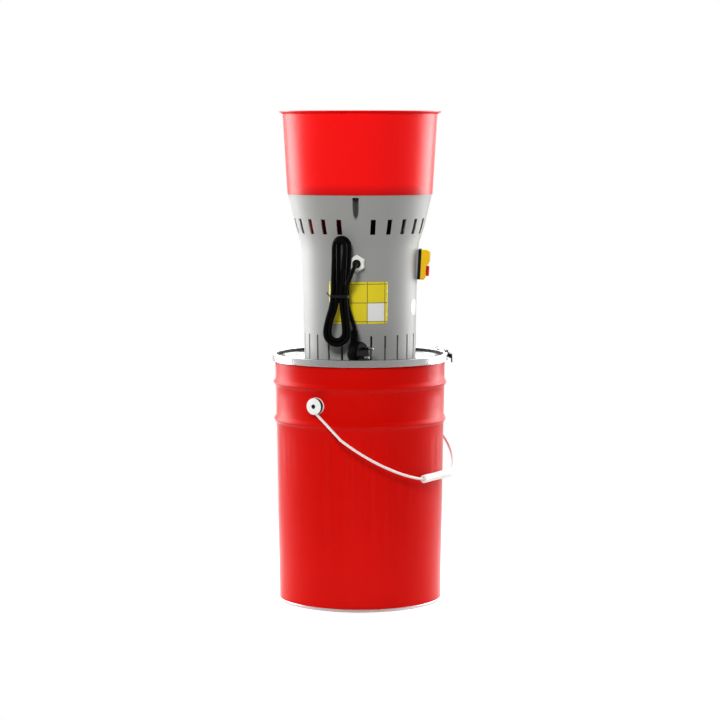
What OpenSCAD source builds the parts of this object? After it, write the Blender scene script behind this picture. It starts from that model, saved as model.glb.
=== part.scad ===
// Electric grain mill: a motor head with a feed hopper stands on the lid of a steel drum.
// Millimetres, +Z up, front towards -Y, origin at the centre of the drum's foot.

/* [Drum] */
// Outer radius of the drum at its foot
drum_foot_r = 145.5; // [140:0.5:152]
// Outer radius of the drum under its rolled rim
drum_top_r = 152.75; // [150:0.25:165]
// Height of the conical wall up to the rolled rim
drum_h = 435; // [420:1:480]
// Thickness of the drum's sheet steel
drum_t = 1; // [0.8:0.1:1.4]
// Distance of the lower rolled hoop below the rolled rim
hoop_low_drop = 106; // [97:1:120]
// Distance of the upper rolled hoop below the rolled rim
hoop_high_drop = 40; // [27:1:45]
// Height of one rolled hoop
hoop_h = 16; // [10:1:18]
// How far a hoop stands proud of the wall
hoop_proud = 4; // [2:0.5:5]
// Height of the seam round the foot
chime_h = 5; // [4:0.5:7]
// Width of the seam round the foot
chime_w = 4.5; // [3.5:0.5:6]
// How far the seam stands proud of the wall
chime_proud = 1; // [0.5:0.25:2]
// Height of the bottom panel over the floor
bottom_z = 8; // [7:0.5:12]
// Radius of the rolled rim's section
curl_r = 3.5; // [3:0.25:4]

/* [Bail] */
// Azimuth of the front ear, from the front towards +X
ear_az = -30; // [-40:1:-20]
// Distance of the ears below the rolled rim
ear_drop = 71; // [63:1:80]
// Radius of an ear's flange
ear_flange_r = 15; // [13:0.5:16]
// Thickness of an ear's flange
ear_flange_t = 2.5; // [2:0.25:4]
// Radius of an ear's cap
ear_cap_r = 14.5; // [13:0.5:16]
// Thickness of an ear's cap
ear_cap_t = 2; // [1.5:0.5:4]
// Radius of the hole in an ear's cap
ear_hole_r = 2.5; // [1.5:0.25:3]
// Radius of the bail wire
wire_r = 2.25; // [1.75:0.25:2.75]
// Radius of the wire's eye, at the middle of the wire
eye_r = 9; // [8:0.25:10]
// Play of the eye round the ear's neck
eye_play = 0.35; // [0.2:0.05:0.6]
// How far the wire's bow is wider than its eyes
bail_bow = 15.75; // [12:0.25:22]
// Distance of the bow's centre from the line of the eyes
bail_arc_v = 39; // [34:1:46]
// Distance of the bends in the wire's legs from the line of the eyes
bail_leg_v = 80; // [70:1:90]
// Straight length of the wire in the grip
bail_chord = 100; // [90:1:110]
// Radius of the grip
grip_r = 7; // [6:0.5:9]
// Length of the grip
grip_l = 97; // [80:1:98]
// Radial play of the grip on the wire
grip_play = 0.06; // [0.03:0.01:0.1]
// Gap between the hanging grip and the drum
grip_gap = 0.5; // [0.3:0.1:2]

/* [Lid] */
// Gap between the rolled rim and the gasket
seat_gap = 0.3; // [0.3:0.05:0.6]
// Thickness of the gasket
gasket_t = 2.2; // [1.5:0.1:3]
// Width of the gasket
gasket_w = 6; // [4:0.5:6]
// Thickness of the lid's sheet steel
lid_t = 1; // [0.8:0.1:1.4]
// Depth of the lid's recess
lid_recess = 6.5; // [5:0.5:8]
// Gap between the lid's recess and the rolled rim
lid_gap = 0.6; // [0.4:0.1:1]
// Thickness of the closing ring
ring_t = 1; // [0.8:0.1:1.4]
// Gap between the rolled rim and the closing ring
ring_gap = 1; // [0.6:0.1:1.5]
// Inward width of the ring's lower lip
ring_lip = 0.6; // [0.3:0.1:0.7]
// Inward width of the ring's upper lip
ring_top_w = 6.5; // [5:0.5:7]
// Height of the closing ring
ring_h = 12; // [11:0.5:14]

/* [Ring latch] */
// Azimuth of the lever's pivot
lever_az = 106; // [104:1:108]
// Azimuth of the hook post
post_az = 119; // [117:1:120]
// Width of the split in the ring
split_w = 5; // [3:1:8]
// Radial distance from the ring to the pins
pin_out = 4.2; // [4:0.1:5]
// Radius of the latch pins
latch_pin_r = 2; // [1.5:0.25:2.25]
// Radius of the lever's hub
lever_hub_r = 3.4; // [3:0.1:3.5]
// Distance from the lever's pivot to the link's pin
link_arm = 13; // [12:0.5:15]
// Angle that the lever covers along the ring
lever_sweep = 15; // [14:0.5:16]
// Thickness of the lever
lever_t = 2.4; // [2:0.2:3]
// Thickness of the lugs' ears
lug_t = 2; // [1.5:0.25:2.5]
// Thickness of the link
link_t = 2; // [1.5:0.25:2.5]
// Play between the latch pieces
latch_gap = 0.4; // [0.3:0.05:0.6]

/* [Casing] */
// Turn of the casing on the lid
casing_turn = -3.5; // [-6:0.5:0]
// Outer radius of the casing at its foot
casing_foot_r = 100; // [99:0.5:101]
// Outer radius at the belt
casing_belt_r = 101.7; // [101:0.1:103]
// Height of the belt over the lid
casing_belt_h = 115.5; // [100:0.5:130]
// Outer radius at the shoulder
casing_shoulder_r = 104.5; // [104:0.1:105.5]
// Height of the shoulder over the lid
casing_shoulder_h = 191.5; // [185:0.5:198]
// Outer radius at the neck, where the flare starts
casing_neck_r = 106.2; // [106:0.1:107]
// Height of the neck over the lid
casing_neck_h = 207.5; // [203:0.5:210]
// Outer radius in the flare
casing_flare_r = 114.9; // [114:0.1:116]
// Height of that place in the flare over the lid
casing_flare_h = 234.5; // [231:0.5:238]
// Outer radius at the casing's top
casing_top_r = 129.3; // [129:0.1:130]
// Height of the casing
casing_h = 293.5; // [290:0.5:300]
// Thickness of the casing's wall
casing_t = 2.5; // [2:0.1:3]
// Width of the flange inside the casing's top
casing_flange_w = 4.5; // [3:0.5:5]
// Thickness of the flange inside the casing's top
casing_flange_t = 4; // [3:0.5:5]
// Number of upper vent slots all round, with those left out at the grooves
vents = 24; // [24]
// Width of an upper vent slot
vent_w = 9.3; // [7:0.1:10]
// Lower end of the upper vent slots over the lid
vent_low_h = 224.5; // [220:0.5:228]
// Upper end of the upper vent slots over the lid
vent_high_h = 251; // [246:0.5:256]
// Width of a lower vent slit
slit_w = 4; // [3:0.25:5]
// Upper end of the lower vent slits over the lid
slit_h = 45.5; // [40:0.5:55]
// Radius from the mill's axis to the axis of a screw groove
groove_axis_r = 123.5; // [122.5:0.25:124]
// Radius of a screw groove
groove_r = 5.75; // [5:0.25:6]
// Wall round a screw groove
groove_wall = 2; // [1.5:0.25:2]
// Lower end of the screw grooves over the lid
groove_h = 249.5; // [246:0.5:254]

/* [Hopper] */
// Outer radius of the hopper at its foot
hopper_foot_r = 129.9; // [129.5:0.1:131]
// Outer radius of the hopper under its rim
hopper_top_r = 138.8; // [137:0.1:141]
// Height of the hopper
hopper_h = 147.4; // [140:0.2:160]
// Thickness of the hopper's wall
hopper_t = 3; // [2.5:0.1:3.5]
// Outer radius of the hopper's rim
rim_r = 145.1; // [143:0.1:148]
// Thickness of the hopper's rim
rim_t = 5; // [4:0.25:7]
// Height of the hopper's ledge over its foot
ledge_h = 18; // [16:0.5:20]
// Thickness of the ledge
ledge_t = 3; // [2:0.25:4]
// Inner radius of the ledge, where the funnel starts
ledge_r = 115.5; // [112:0.5:116]
// Thickness of the funnel
funnel_t = 2.5; // [2:0.1:3]

/* [Feed] */
// Distance of the feed from the mill's axis
feed_r = 79; // [78:0.25:79.5]
// Inner radius of the funnel's spout
spout_r = 13; // [11:0.25:13.25]
// Height of the spout's mouth over the lid
spout_h = 182.5; // [180:0.5:184]
// Length of the straight spout
spout_l = 10; // [8:0.5:14]
// Thickness of the gate
gate_t = 2.4; // [2:0.1:3]
// How much larger than the spout the gate's disc is
gate_lap = 3; // [2.5:0.25:3]
// Play over and under the gate
gate_play = 0.3; // [0.2:0.05:0.4]
// Width of the gate's tongue
gate_tongue_w = 14; // [10:0.5:14]
// Reach of the gate's tongue from the feed's axis
gate_reach = 84; // [82:1:90]
// Radius of the gate's knob
gate_knob_r = 7; // [5:0.5:8]
// Inner radius of the chute
chute_r = 13.5; // [13.25:0.25:13.5]
// Thickness of the chute
chute_t = 1.5; // [1:0.1:1.5]
// Thickness of the chute's flange
chute_flange_t = 3; // [2:0.25:4]
// Radius of the chute's flange
chute_flange_r = 18; // [17:0.25:18]

/* [Motor] */
// Outer radius of the motor's frame
motor_r = 60; // [54:0.5:61]
// Thickness of the motor's frame
frame_t = 2; // [1.5:0.25:3]
// Length of the motor's frame
frame_l = 104; // [100:1:108]
// Thickness of an end shield
shield_t = 12; // [11.5:0.5:14]
// Height of the motor's feet over the lid
foot_h = 7.5; // [6:0.5:9]
// Radius of a motor foot
foot_r = 7; // [6:0.5:8]
// Radius from the axis to the motor's feet
foot_ring_r = 48; // [44:0.5:50]
// Radius of the stator's bore
stator_bore_r = 33.5; // [30:0.5:36]
// Length of the stator and the rotor core
core_l = 80; // [70:1:82]
// Air gap between the stator and the rotor core
air_gap = 0.5; // [0.4:0.05:0.8]
// Radius of the shaft
shaft_r = 7; // [6:0.25:7.5]
// Radial play of the shaft in its bearings
shaft_play = 0.05; // [0.02:0.01:0.1]
// Outer radius of a bearing
bearing_r = 17.5; // [15:0.5:19]
// Width of a bearing
bearing_w = 11; // [9:0.5:11.5]
// Radius of the cooling fan
fan_r = 52; // [46:0.5:56]
// Height of the cooling fan
fan_h = 16; // [12:0.5:20]
// Thickness of the fan's plate and blades
fan_t = 2; // [1.5:0.25:2.5]
// Radius of the capacitor
capacitor_r = 15; // [13:0.5:16]
// Length of the capacitor
capacitor_l = 70; // [60:1:90]

/* [Mill] */
// Thickness of the mill's head plate under the lid
plate_t = 6; // [5:0.5:8]
// Radius of the head plate and of the sieve's cover
plate_r = 108; // [107:0.5:112]
// Radius of the ring of studs
stud_ring_r = 102; // [101.5:0.25:103]
// Radius of the studs
stud_r = 3; // [2.5:0.25:3]
// Inner radius of the sieve
sieve_r = 95.5; // [95:0.25:96.5]
// Thickness of the sieve
sieve_t = 1.2; // [1:0.1:1.5]
// Height of the sieve
sieve_h = 60; // [56:1:66]
// Holes round the sieve
sieve_cols = 24; // [16:1:30]
// Rows of holes in the sieve
sieve_rows = 3; // [2:1:3]
// Radius of a sieve hole
sieve_hole_r = 4; // [2:0.5:5]
// Thickness of the sieve's cover
cover_t = 3; // [2:0.25:4]
// Length of the blade
blade_l = 180; // [150:1:186]
// Width of the blade
blade_w = 32; // [26:1:36]
// Thickness of the blade
blade_t = 4; // [3:0.5:6]
// Height of the blade over the sieve's cover
blade_z = 20; // [18:0.5:24]
// Radius of the blade's hub
hub_r = 14; // [12:0.5:16]
// Gap between the hub and the head plate
hub_gap = 3; // [2:0.25:5]
// Height of the blade's nut
nut_h = 10; // [8:0.5:11]
// Width across the flats of the blade's nut
nut_af = 22; // [20:0.5:24]
// Thickness of the blade's washer
washer_t = 2.5; // [2:0.25:3]
// Outer radius of the shaft seal
seal_r = 14; // [12:0.5:16]

/* [Switch] */
// Azimuth of the switch on the casing
switch_az = 90; // [84:0.5:96]
// Height of the switch's middle over the lid
switch_h = 168.5; // [162:0.5:172]
// Tilt of the switch
switch_tilt = 3; // [2:0.25:4]
// Distance of the switch pad from the mill's axis
pad_r = 104.6; // [104:0.1:106]
// Width of the switch
switch_w = 44; // [40:0.5:48]
// Length of the switch
switch_l = 54; // [52:0.5:58]
// Thickness of the switch's gasket
switch_gasket_t = 5.6; // [5:0.1:6.5]
// Depth of the switch's lower half
switch_low_d = 9.3; // [9:0.1:10.5]
// Depth of the switch's upper half
switch_high_d = 14.8; // [13.8:0.1:16]
// Width of a button
button_w = 20; // [16:0.5:22]
// Length of a button
button_l = 18; // [15:0.5:18]
// Play round a button
button_play = 0.4; // [0.3:0.05:0.6]
// Travel of a button
button_travel = 3.5; // [2.5:0.25:3.5]
// How deep the start button's face lies in the upper half
start_sunk = 1.2; // [0.8:0.1:2]
// How far the stop button stands proud of the lower half
stop_proud = 5.5; // [4.5:0.1:6]
// Radius of the switch screws' heads
switch_screw_r = 2.6; // [2:0.1:3]

/* [Cord] */
// Azimuth of the cord gland on the casing
gland_az = 0.5; // [-2:0.5:3]
// Height of the cord gland over the lid
gland_h = 174; // [174]
// Width across the flats of the gland
gland_af = 27; // [24:0.5:28]
// Thickness of the gland's flange
gland_flange_t = 5; // [4:0.25:6]
// Radius of the gland's thread
gland_thread_r = 10; // [8:0.25:10.5]
// Length of the gland's cap nut
gland_nut_l = 9; // [8:0.25:10]
// Thickness of the gland's lock nut
lock_nut_t = 5; // [4:0.25:6]
// Diameter of the cord
cord_d = 7.4; // [7.4]
// Radius of the plug's body
plug_r = 19; // [17:0.25:19.5]
// Thickness of the plug's body
plug_t = 23; // [20:0.5:26]
// Radius of the plug's pins
plug_pin_r = 2.4; // [2:0.1:2.5]
// Length of the plug's pins
plug_pin_l = 19; // [16:0.5:20]
// Distance between the plug's pins
plug_pin_gap = 19; // [17:0.5:20]

/* [Fasteners] */
// Radius of a casing screw's shank
screw_r = 2; // [1.5:0.1:2.2]
// Radius of a casing screw's head
screw_head_r = 4; // [3.5:0.1:4.5]
// Height of a casing screw's head
screw_head_h = 3; // [2:0.25:4]
// Depth of a casing screw in its boss
screw_l = 12; // [10:0.5:13]
// Radius of a motor bolt
bolt_r = 3; // [2.5:0.25:3.5]
// Width across the flats of a motor bolt's head
bolt_af = 10; // [9:0.5:11]
// Height of a motor bolt's head
bolt_head_h = 4; // [3:0.5:5]
// Radial play of a fastener in its hole
hole_play = 0.2; // [0.1:0.05:0.4]

/* [Hidden] */
$fn = 96;

// A hair of air between faces of one body that would otherwise share a curved surface
hair = 0.05;
// Overshoot of a cutter past the face that it cuts
over = 1;

// Heights, from the floor up
curl_sink = 0.5;
curl_top = drum_h + 2 * curl_r - curl_sink;
gasket_z = curl_top + seat_gap;
lid_flange_z = gasket_z + gasket_t;
lid_top_z = lid_flange_z + lid_t;
lid_z = lid_top_z - lid_recess;
ring_top_z = lid_top_z + ring_t;
ring_low_z = ring_top_z - ring_h;
casing_top_z = lid_z + casing_h;
hopper_z = casing_top_z;
hoop_low_z = drum_h - hoop_low_drop;
hoop_high_z = drum_h - hoop_high_drop;
ear_z = drum_h - ear_drop;

function drum_r(z) = drum_foot_r + (drum_top_r - drum_foot_r) * z / drum_h;
function hoop(z, at) = abs(z - at) < hoop_h / 2 ? hoop_proud * (1 + cos(360 * (z - at) / hoop_h)) / 2 : 0;
function drum_wall_r(z) = drum_r(z) + hoop(z, hoop_low_z) + hoop(z, hoop_high_z);
function hoop_steps(at) = [for (i = [-4 : 4]) at + i * hoop_h / 8];

// Radii of the rim, lid and ring
curl_mid_r = drum_top_r - drum_t / 2;
lid_wall_r = curl_mid_r - curl_r - lid_gap;
lid_flange_r = curl_mid_r + curl_r + ring_gap / 2;
ring_in_r = curl_mid_r + curl_r + ring_gap;
ring_r = ring_in_r + ring_t;

// Point at radius r and azimuth a, where 0 is the front and +90 is +X
function polar(r, a) = [r * sin(a), -r * cos(a)];

// Places children at an azimuth, with their -Y pointing outward
module at_az(a, r = 0, z = 0) {
    rotate([0, 0, a]) translate([0, -r, z]) children();
}

// Places children at an azimuth, with their +Z pointing outward and +Y up
module facing(a, r, z) {
    at_az(a, r, z) rotate([90, 0, 0]) children();
}

module on_head() {
    rotate([0, 0, casing_turn]) children();
}

module tube(ro, ri, z0, z1) {
    translate([0, 0, z0]) difference() {
        cylinder(r = ro, h = z1 - z0);
        translate([0, 0, -over]) cylinder(r = ri, h = z1 - z0 + 2 * over);
    }
}

module hex(af, h) {
    cylinder(r = af / 2 / cos(30), h = h, $fn = 6);
}

module block(w, d, h) {
    translate([-w / 2, -d / 2, 0]) cube([w, d, h]);
}

// Drum
module drum_shell() color("red") {
    zs = concat([chime_h], hoop_steps(hoop_low_z), hoop_steps(hoop_high_z), [drum_h]);
    n = len(zs) - 1;
    rotate_extrude($fn = 128) polygon(concat(
        [for (z = zs) [drum_wall_r(z), z]],
        [for (i = [n : -1 : 0]) [drum_wall_r(zs[i]) - drum_t, zs[i]]]));
    rotate_extrude($fn = 128) translate([curl_mid_r, drum_h + curl_r - curl_sink]) circle(curl_r, $fn = 32);
}

module drum_bottom() color("silver") {
    out_r = drum_foot_r + chime_proud;
    in_r = out_r - chime_w;
    wall_r = drum_foot_r - drum_t - 2 * hair;
    rotate_extrude($fn = 128) polygon([
        [0, bottom_z], [in_r, bottom_z], [in_r, 0], [out_r, 0], [out_r, chime_h],
        [wall_r, chime_h], [wall_r, bottom_z + drum_t], [0, bottom_z + drum_t]]);
}

// Bail: its loop lies in a plane that passes eye_r below the line of the ears
ear_wall_r = drum_r(ear_z);
eye_room = wire_r + eye_play;
eye_u = ear_wall_r + ear_flange_t + eye_room;
bail_arc_r = eye_u + bail_bow;
grip_v = bail_arc_v + sqrt(pow(bail_arc_r, 2) - pow(bail_chord / 2, 2));
leg_u = sqrt(pow(bail_arc_r, 2) - pow(bail_leg_v - bail_arc_v, 2));
// The neck also leaves room for the leg, which leans outward past the cap
ear_neck_l = 2 * eye_room + ear_cap_r * (leg_u - eye_u) / bail_leg_v;
ear_neck_r = eye_r - eye_room;
ear_sink = 2;
ear_neck_h = ear_sink + ear_flange_t;
ear_cap_h = ear_neck_h + ear_neck_l;
grip_swing = norm([grip_v, eye_r]);
grip_lead = atan2(eye_r, grip_v);
function bail_angle(r) = acos((r + grip_r + grip_gap) / grip_swing) - grip_lead;
function grip_height(a) = ear_z - grip_swing * sin(a + grip_lead);
bail_drop = bail_angle(drum_r(grip_height(bail_angle(ear_wall_r))));

module on_bail() {
    translate([0, 0, ear_z]) rotate([0, 0, ear_az + 90]) rotate([180 + bail_drop, 0, 0])
        translate([0, 0, eye_r]) children();
}

module bail_ears() color("gainsboro") {
    for (a = [ear_az, ear_az + 180]) difference() {
        facing(a, ear_wall_r - ear_sink, ear_z) rotate_extrude() polygon([
            [0, 0], [ear_flange_r, 0], [ear_flange_r, ear_neck_h], [ear_neck_r, ear_neck_h],
            [ear_neck_r, ear_cap_h], [ear_cap_r, ear_cap_h], [ear_cap_r, ear_cap_h + ear_cap_t / 2],
            [ear_cap_r * 0.8, ear_cap_h + ear_cap_t * 0.85], [ear_hole_r, ear_cap_h + ear_cap_t],
            [ear_hole_r, ear_neck_h], [0, ear_neck_h]]);
        cylinder(r1 = drum_foot_r + hair, r2 = drum_top_r + hair, h = drum_h, $fn = 128);
    }
}

module rod(p, q, r) {
    d = q - p;
    translate(p) rotate([0, acos(d[2] / norm(d)), atan2(d[1], d[0])]) cylinder(r = r, h = norm(d), $fn = 24);
}

module bail_wire() color("whitesmoke") on_bail() {
    kink = atan2(bail_leg_v - bail_arc_v, leg_u);
    end = acos(bail_chord / 2 / bail_arc_r);
    for (side = [0, 1]) mirror([side, 0, 0]) {
        translate([eye_u, 0, -eye_r]) rotate([0, 90, 0]) rotate_extrude($fn = 48)
            translate([eye_r, 0]) circle(wire_r, $fn = 24);
        rod([eye_u, 0, 0], [leg_u, bail_leg_v, 0], wire_r);
        translate([leg_u, bail_leg_v, 0]) sphere(wire_r, $fn = 24);
        translate([0, bail_arc_v, 0]) rotate([0, 0, kink]) rotate_extrude(angle = end - kink)
            translate([bail_arc_r, 0]) circle(wire_r, $fn = 24);
        translate([bail_chord / 2, grip_v, 0]) sphere(wire_r, $fn = 24);
    }
    rod([-bail_chord / 2, grip_v, 0], [bail_chord / 2, grip_v, 0], wire_r);
}

module bail_grip() color("white") on_bail() translate([-grip_l / 2, grip_v, 0]) rotate([0, 90, 0])
    tube(grip_r, wire_r + grip_play, 0, grip_l);

// Lid, gasket and closing ring
module feed_hole(r, z0, z1) {
    on_head() translate([-feed_r, 0, z0]) cylinder(r = r, h = z1 - z0);
}

module motor_feet() {
    on_head() for (a = [45 : 90 : 315]) at_az(a, foot_ring_r) children();
}

boss_r = 5;
boss_sink = 0.5;
boss_ring_r = casing_foot_r - casing_t - boss_r + boss_sink;
boss_h = 22;
module base_bosses() {
    on_head() for (a = [67.5, 187.5, 307.5]) at_az(a, boss_ring_r) children();
}

lid_bore_gap = 3;
module lid() color("lightgray") difference() {
    rotate_extrude($fn = 128) polygon([
        [0, lid_z - lid_t], [lid_wall_r, lid_z - lid_t], [lid_wall_r, lid_flange_z],
        [lid_flange_r, lid_flange_z], [lid_flange_r, lid_top_z],
        [lid_wall_r - lid_t, lid_top_z], [lid_wall_r - lid_t, lid_z], [0, lid_z]]);
    translate([0, 0, lid_z - lid_t - over]) cylinder(r = shaft_r + lid_bore_gap, h = lid_t + 2 * over);
    feed_hole(chute_r + chute_t + hole_play, lid_z - lid_t - over, lid_z + over);
    motor_feet() translate([0, 0, lid_z - lid_t - over])
        cylinder(r = bolt_r + hole_play, h = lid_t + 2 * over);
    base_bosses() translate([0, 0, lid_z - lid_t - over])
        cylinder(r = screw_r + hole_play, h = lid_t + 2 * over);
}

module lid_gasket() color("dimgray")
    tube(curl_mid_r + gasket_w / 2, curl_mid_r - gasket_w / 2, gasket_z, lid_flange_z);

split_az = (lever_az + post_az) / 2;
module closing_ring() color("silver") difference() {
    rotate_extrude($fn = 128) polygon([
        [ring_in_r - ring_lip, ring_low_z], [ring_r, ring_low_z], [ring_r, ring_top_z],
        [ring_r - ring_top_w, ring_top_z], [ring_r - ring_top_w, lid_top_z], [ring_in_r, lid_top_z],
        [ring_in_r, ring_low_z + ring_t], [ring_in_r - ring_lip, ring_low_z + ring_t]]);
    at_az(split_az, ring_r + over, ring_low_z - over) translate([-split_w / 2, 0, 0])
        cube([split_w, ring_top_w + 3 * over, ring_h + 2 * over]);
}

// Ring latch
pin_r = ring_r + pin_out;
lug_inset = 0.5;
lug_rise = 1.5;
lug_back_t = 0.4;
lug_edge = 3;
lug_half_az = 1.5;
lug_long_az = 4;
lug_low_z = ring_low_z + lug_inset;
lug_high_z = ring_top_z + lug_rise;
lever_low_z = lug_low_z + lug_t + latch_gap;
lever_high_z = lug_high_z - lug_t - latch_gap;
link_z = lug_high_z + latch_gap;
link_az = lever_az - 2 * asin(link_arm / 2 / pin_r);

// A slab between two radii and two heights, from azimuth a0 to a1
module sector(ri, ro, z0, z1, a0, a1) {
    translate([0, 0, z0]) rotate([0, 0, a0 - 90]) rotate_extrude(angle = a1 - a0)
        translate([ri, 0]) square([ro - ri, z1 - z0]);
}

module ring_lug(a, a0, a1) difference() {
    union() {
        sector(ring_r + hair, ring_r + lug_back_t, lug_low_z, lug_high_z, a0, a1);
        sector(ring_r + hair, pin_r + lug_edge, lug_low_z, lug_low_z + lug_t, a0, a1);
        sector(ring_r + hair, pin_r + lug_edge, lug_high_z - lug_t, lug_high_z, a0, a1);
    }
    at_az(a, pin_r, lug_low_z - over) cylinder(r = latch_pin_r + hair, h = lug_high_z - lug_low_z + 2 * over);
}

module ring_lugs() color("silver") {
    ring_lug(lever_az, lever_az - lug_half_az, lever_az + lug_long_az);
    ring_lug(post_az, post_az - lug_half_az, post_az + lug_half_az);
}

module latch_pins() color("gray") {
    at_az(lever_az, pin_r, lug_low_z) cylinder(r = latch_pin_r, h = lug_high_z - lug_low_z);
    at_az(post_az, pin_r, lug_low_z) cylinder(r = latch_pin_r, h = link_z + link_t + over - lug_low_z);
}

// The lever's tip bends outward, then down past the ring
tip_out = 3;
tip_turn = 2.5;
tip_h = 8;
tip_low_out = 3.5;
tip_low_turn = 4.5;
tip_low_h = 6;
tip_drop = 4;
module lever_edge(turn, out, z, h) {
    at_az(lever_az - lever_sweep - turn, pin_r + out, z) cylinder(r = lever_t / 2, h = h, $fn = 24);
}

module latch_lever() color("dimgray") difference() {
    union() {
        at_az(lever_az, pin_r, lever_low_z) cylinder(r = lever_hub_r, h = lever_high_z - lever_low_z);
        sector(pin_r - lever_t / 2, pin_r + lever_t / 2, lever_low_z, lever_high_z,
            lever_az - lever_sweep, lever_az);
        hull() {
            lever_edge(0, 0, lever_low_z, tip_h);
            lever_edge(tip_turn, tip_out, lever_low_z, tip_h);
        }
        hull() {
            lever_edge(tip_turn, tip_out, lever_low_z, tip_h);
            lever_edge(tip_low_turn, tip_low_out, ring_low_z - tip_drop, tip_low_h);
        }
    }
    at_az(lever_az, pin_r, lever_low_z - over)
        cylinder(r = latch_pin_r + shaft_play, h = lever_high_z - lever_low_z + 2 * over);
    at_az(link_az, pin_r, lever_low_z - over)
        cylinder(r = latch_pin_r / 2 + hair, h = lever_high_z - lever_low_z + 2 * over);
}

module lever_pin() color("gray") {
    at_az(link_az, pin_r, lever_low_z) cylinder(r = latch_pin_r / 2, h = lever_high_z - lever_low_z);
    at_az(link_az, pin_r, lever_high_z) cylinder(r = latch_pin_r, h = link_z + link_t - lever_high_z);
}

link_in = 3;
link_out = 4.5;
link_past_az = 2;
link_eye_r = 4;
link_notch_back = 2;
link_notch_w = 2 * latch_pin_r + 3.2;
link_notch_l = 6;
module latch_link() color("silver") difference() {
    union() {
        sector(pin_r - link_in, pin_r + link_out, link_z, link_z + link_t, link_az, post_az + link_past_az);
        at_az(link_az, pin_r, link_z) cylinder(r = link_eye_r, h = link_t);
    }
    at_az(link_az, pin_r, link_z - over) cylinder(r = latch_pin_r + shaft_play, h = link_t + 2 * over);
    at_az(post_az, pin_r, link_z - over) cylinder(r = latch_pin_r + latch_gap, h = link_t + 2 * over);
    at_az(post_az, pin_r, link_z - over) translate([-latch_pin_r - link_notch_back, 0, 0])
        cube([link_notch_w, link_notch_l, link_t + 2 * over]);
}

// Casing
casing_outline = [
    [0, casing_foot_r], [casing_belt_h, casing_belt_r], [casing_shoulder_h, casing_shoulder_r],
    [casing_neck_h, casing_neck_r], [casing_flare_h, casing_flare_r], [casing_h, casing_top_r]];
casing_n = len(casing_outline) - 1;
function casing_r(h) = lookup(h, casing_outline);

module casing_solid() {
    translate([0, 0, lid_z]) rotate_extrude($fn = 128) polygon(concat(
        [[0, 0]], [for (p = casing_outline) [p[1], p[0]]], [[0, casing_h]]));
}

module casing_wall() {
    translate([0, 0, lid_z]) rotate_extrude($fn = 128) polygon(concat(
        [for (p = casing_outline) [p[1], p[0]]],
        [for (i = [casing_n : -1 : 0]) [casing_outline[i][1] - casing_t, casing_outline[i][0]]]));
}

// Vent slots are spread evenly round the casing, from the middle of the front
module vent_slots() {
    for (i = [0 : vents - 1]) if (i % (vents / 3) != 0)
        at_az(i * 360 / vents, casing_top_r + over, lid_z + vent_low_h) translate([-vent_w / 2, 0, 0])
            cube([vent_w, casing_top_r - casing_neck_r + casing_t + 4 * over, vent_high_h - vent_low_h]);
    for (i = [0 : vents - 1]) at_az(i * 360 / vents, casing_belt_r + over, lid_z - over)
        translate([-slit_w / 2, 0, 0])
            cube([slit_w, casing_t + 2 * over + casing_belt_r - casing_foot_r, slit_h + over]);
}

module groove_screws() {
    on_head() for (a = [0 : 120 : 240]) at_az(a, groove_axis_r) children();
}

flange_low_z = casing_top_z - casing_flange_t;
gland_z = lid_z + gland_h;
gland_face_r = casing_r(gland_h + gland_af / 2) + hair;
switch_z = lid_z + switch_h;
block_w = 30;
block_l = 36;
block_d = 28;
block_play = 0.5;
pad_edge = 1.5;
pad_d = 12;
groove_floor = 4;
groove_l = flange_low_z - lid_z - groove_h;
groove_mouth = groove_r - 0.25;
groove_open = 12;
gate_slot_side = 1;
gate_slot_gap = 2;
gate_slot_y = 30;
gate_slot_l = 70;
gland_thread_l = 14;

// Places children on the switch pad, with their +Z pointing outward and +Y up
module on_pad() {
    on_head() facing(switch_az, pad_r, switch_z) rotate([switch_tilt, 0, 0]) children();
}

module casing() color("lightgray") difference() {
    union() {
        on_head() casing_wall();
        intersection() {
            on_head() casing_solid();
            union() {
                groove_screws() translate([0, 0, lid_z + groove_h - groove_floor])
                    cylinder(r = groove_r + groove_wall, h = casing_h - groove_h + groove_floor);
                tube(casing_top_r, casing_top_r - casing_flange_w, flange_low_z, casing_top_z);
            }
        }
        base_bosses() translate([0, 0, lid_z]) cylinder(r = boss_r, h = boss_h);
        on_pad() translate([0, 0, -pad_d]) block(switch_w - 2 * pad_edge, switch_l - 2 * pad_edge, pad_d);
    }
    groove_screws() translate([0, 0, lid_z + groove_h]) {
        cylinder(r = groove_r, h = groove_l);
        translate([-groove_mouth, -groove_open, 0]) cube([2 * groove_mouth, groove_open, groove_l]);
    }
    groove_screws() translate([0, 0, flange_low_z - over])
        cylinder(r = screw_r + hole_play, h = casing_flange_t + 2 * over);
    base_bosses() translate([0, 0, lid_z - over]) cylinder(r = screw_r + hair, h = screw_l + 2 * over);
    on_head() vent_slots();
    on_head() facing(gland_az, gland_face_r - gland_thread_l - over, gland_z)
        cylinder(r = gland_thread_r + hole_play, h = gland_thread_l + 4 * over);
    on_pad() translate([0, 0, -block_d]) block_room(block_d + over);
    on_head() translate([-feed_r - gate_tongue_w / 2 - gate_slot_side, gate_slot_y, gate_z - gate_slot_gap])
        cube([gate_tongue_w + 2 * gate_slot_side, gate_slot_l, gate_t + 2 * gate_slot_gap]);
}

// Room for the switch block with its play
module block_room(h) {
    block(block_w + 2 * block_play, block_l + 2 * block_play, h);
}

// Hopper with an oblique funnel that leads to the feed beside the motor
spout_z = lid_z + spout_h;
funnel_lip = 0.5;
hopper_boss_r = 5.5;
function hopper_r(h) = hopper_foot_r + (hopper_top_r - hopper_foot_r) * h / (hopper_h - rim_t);

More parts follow.
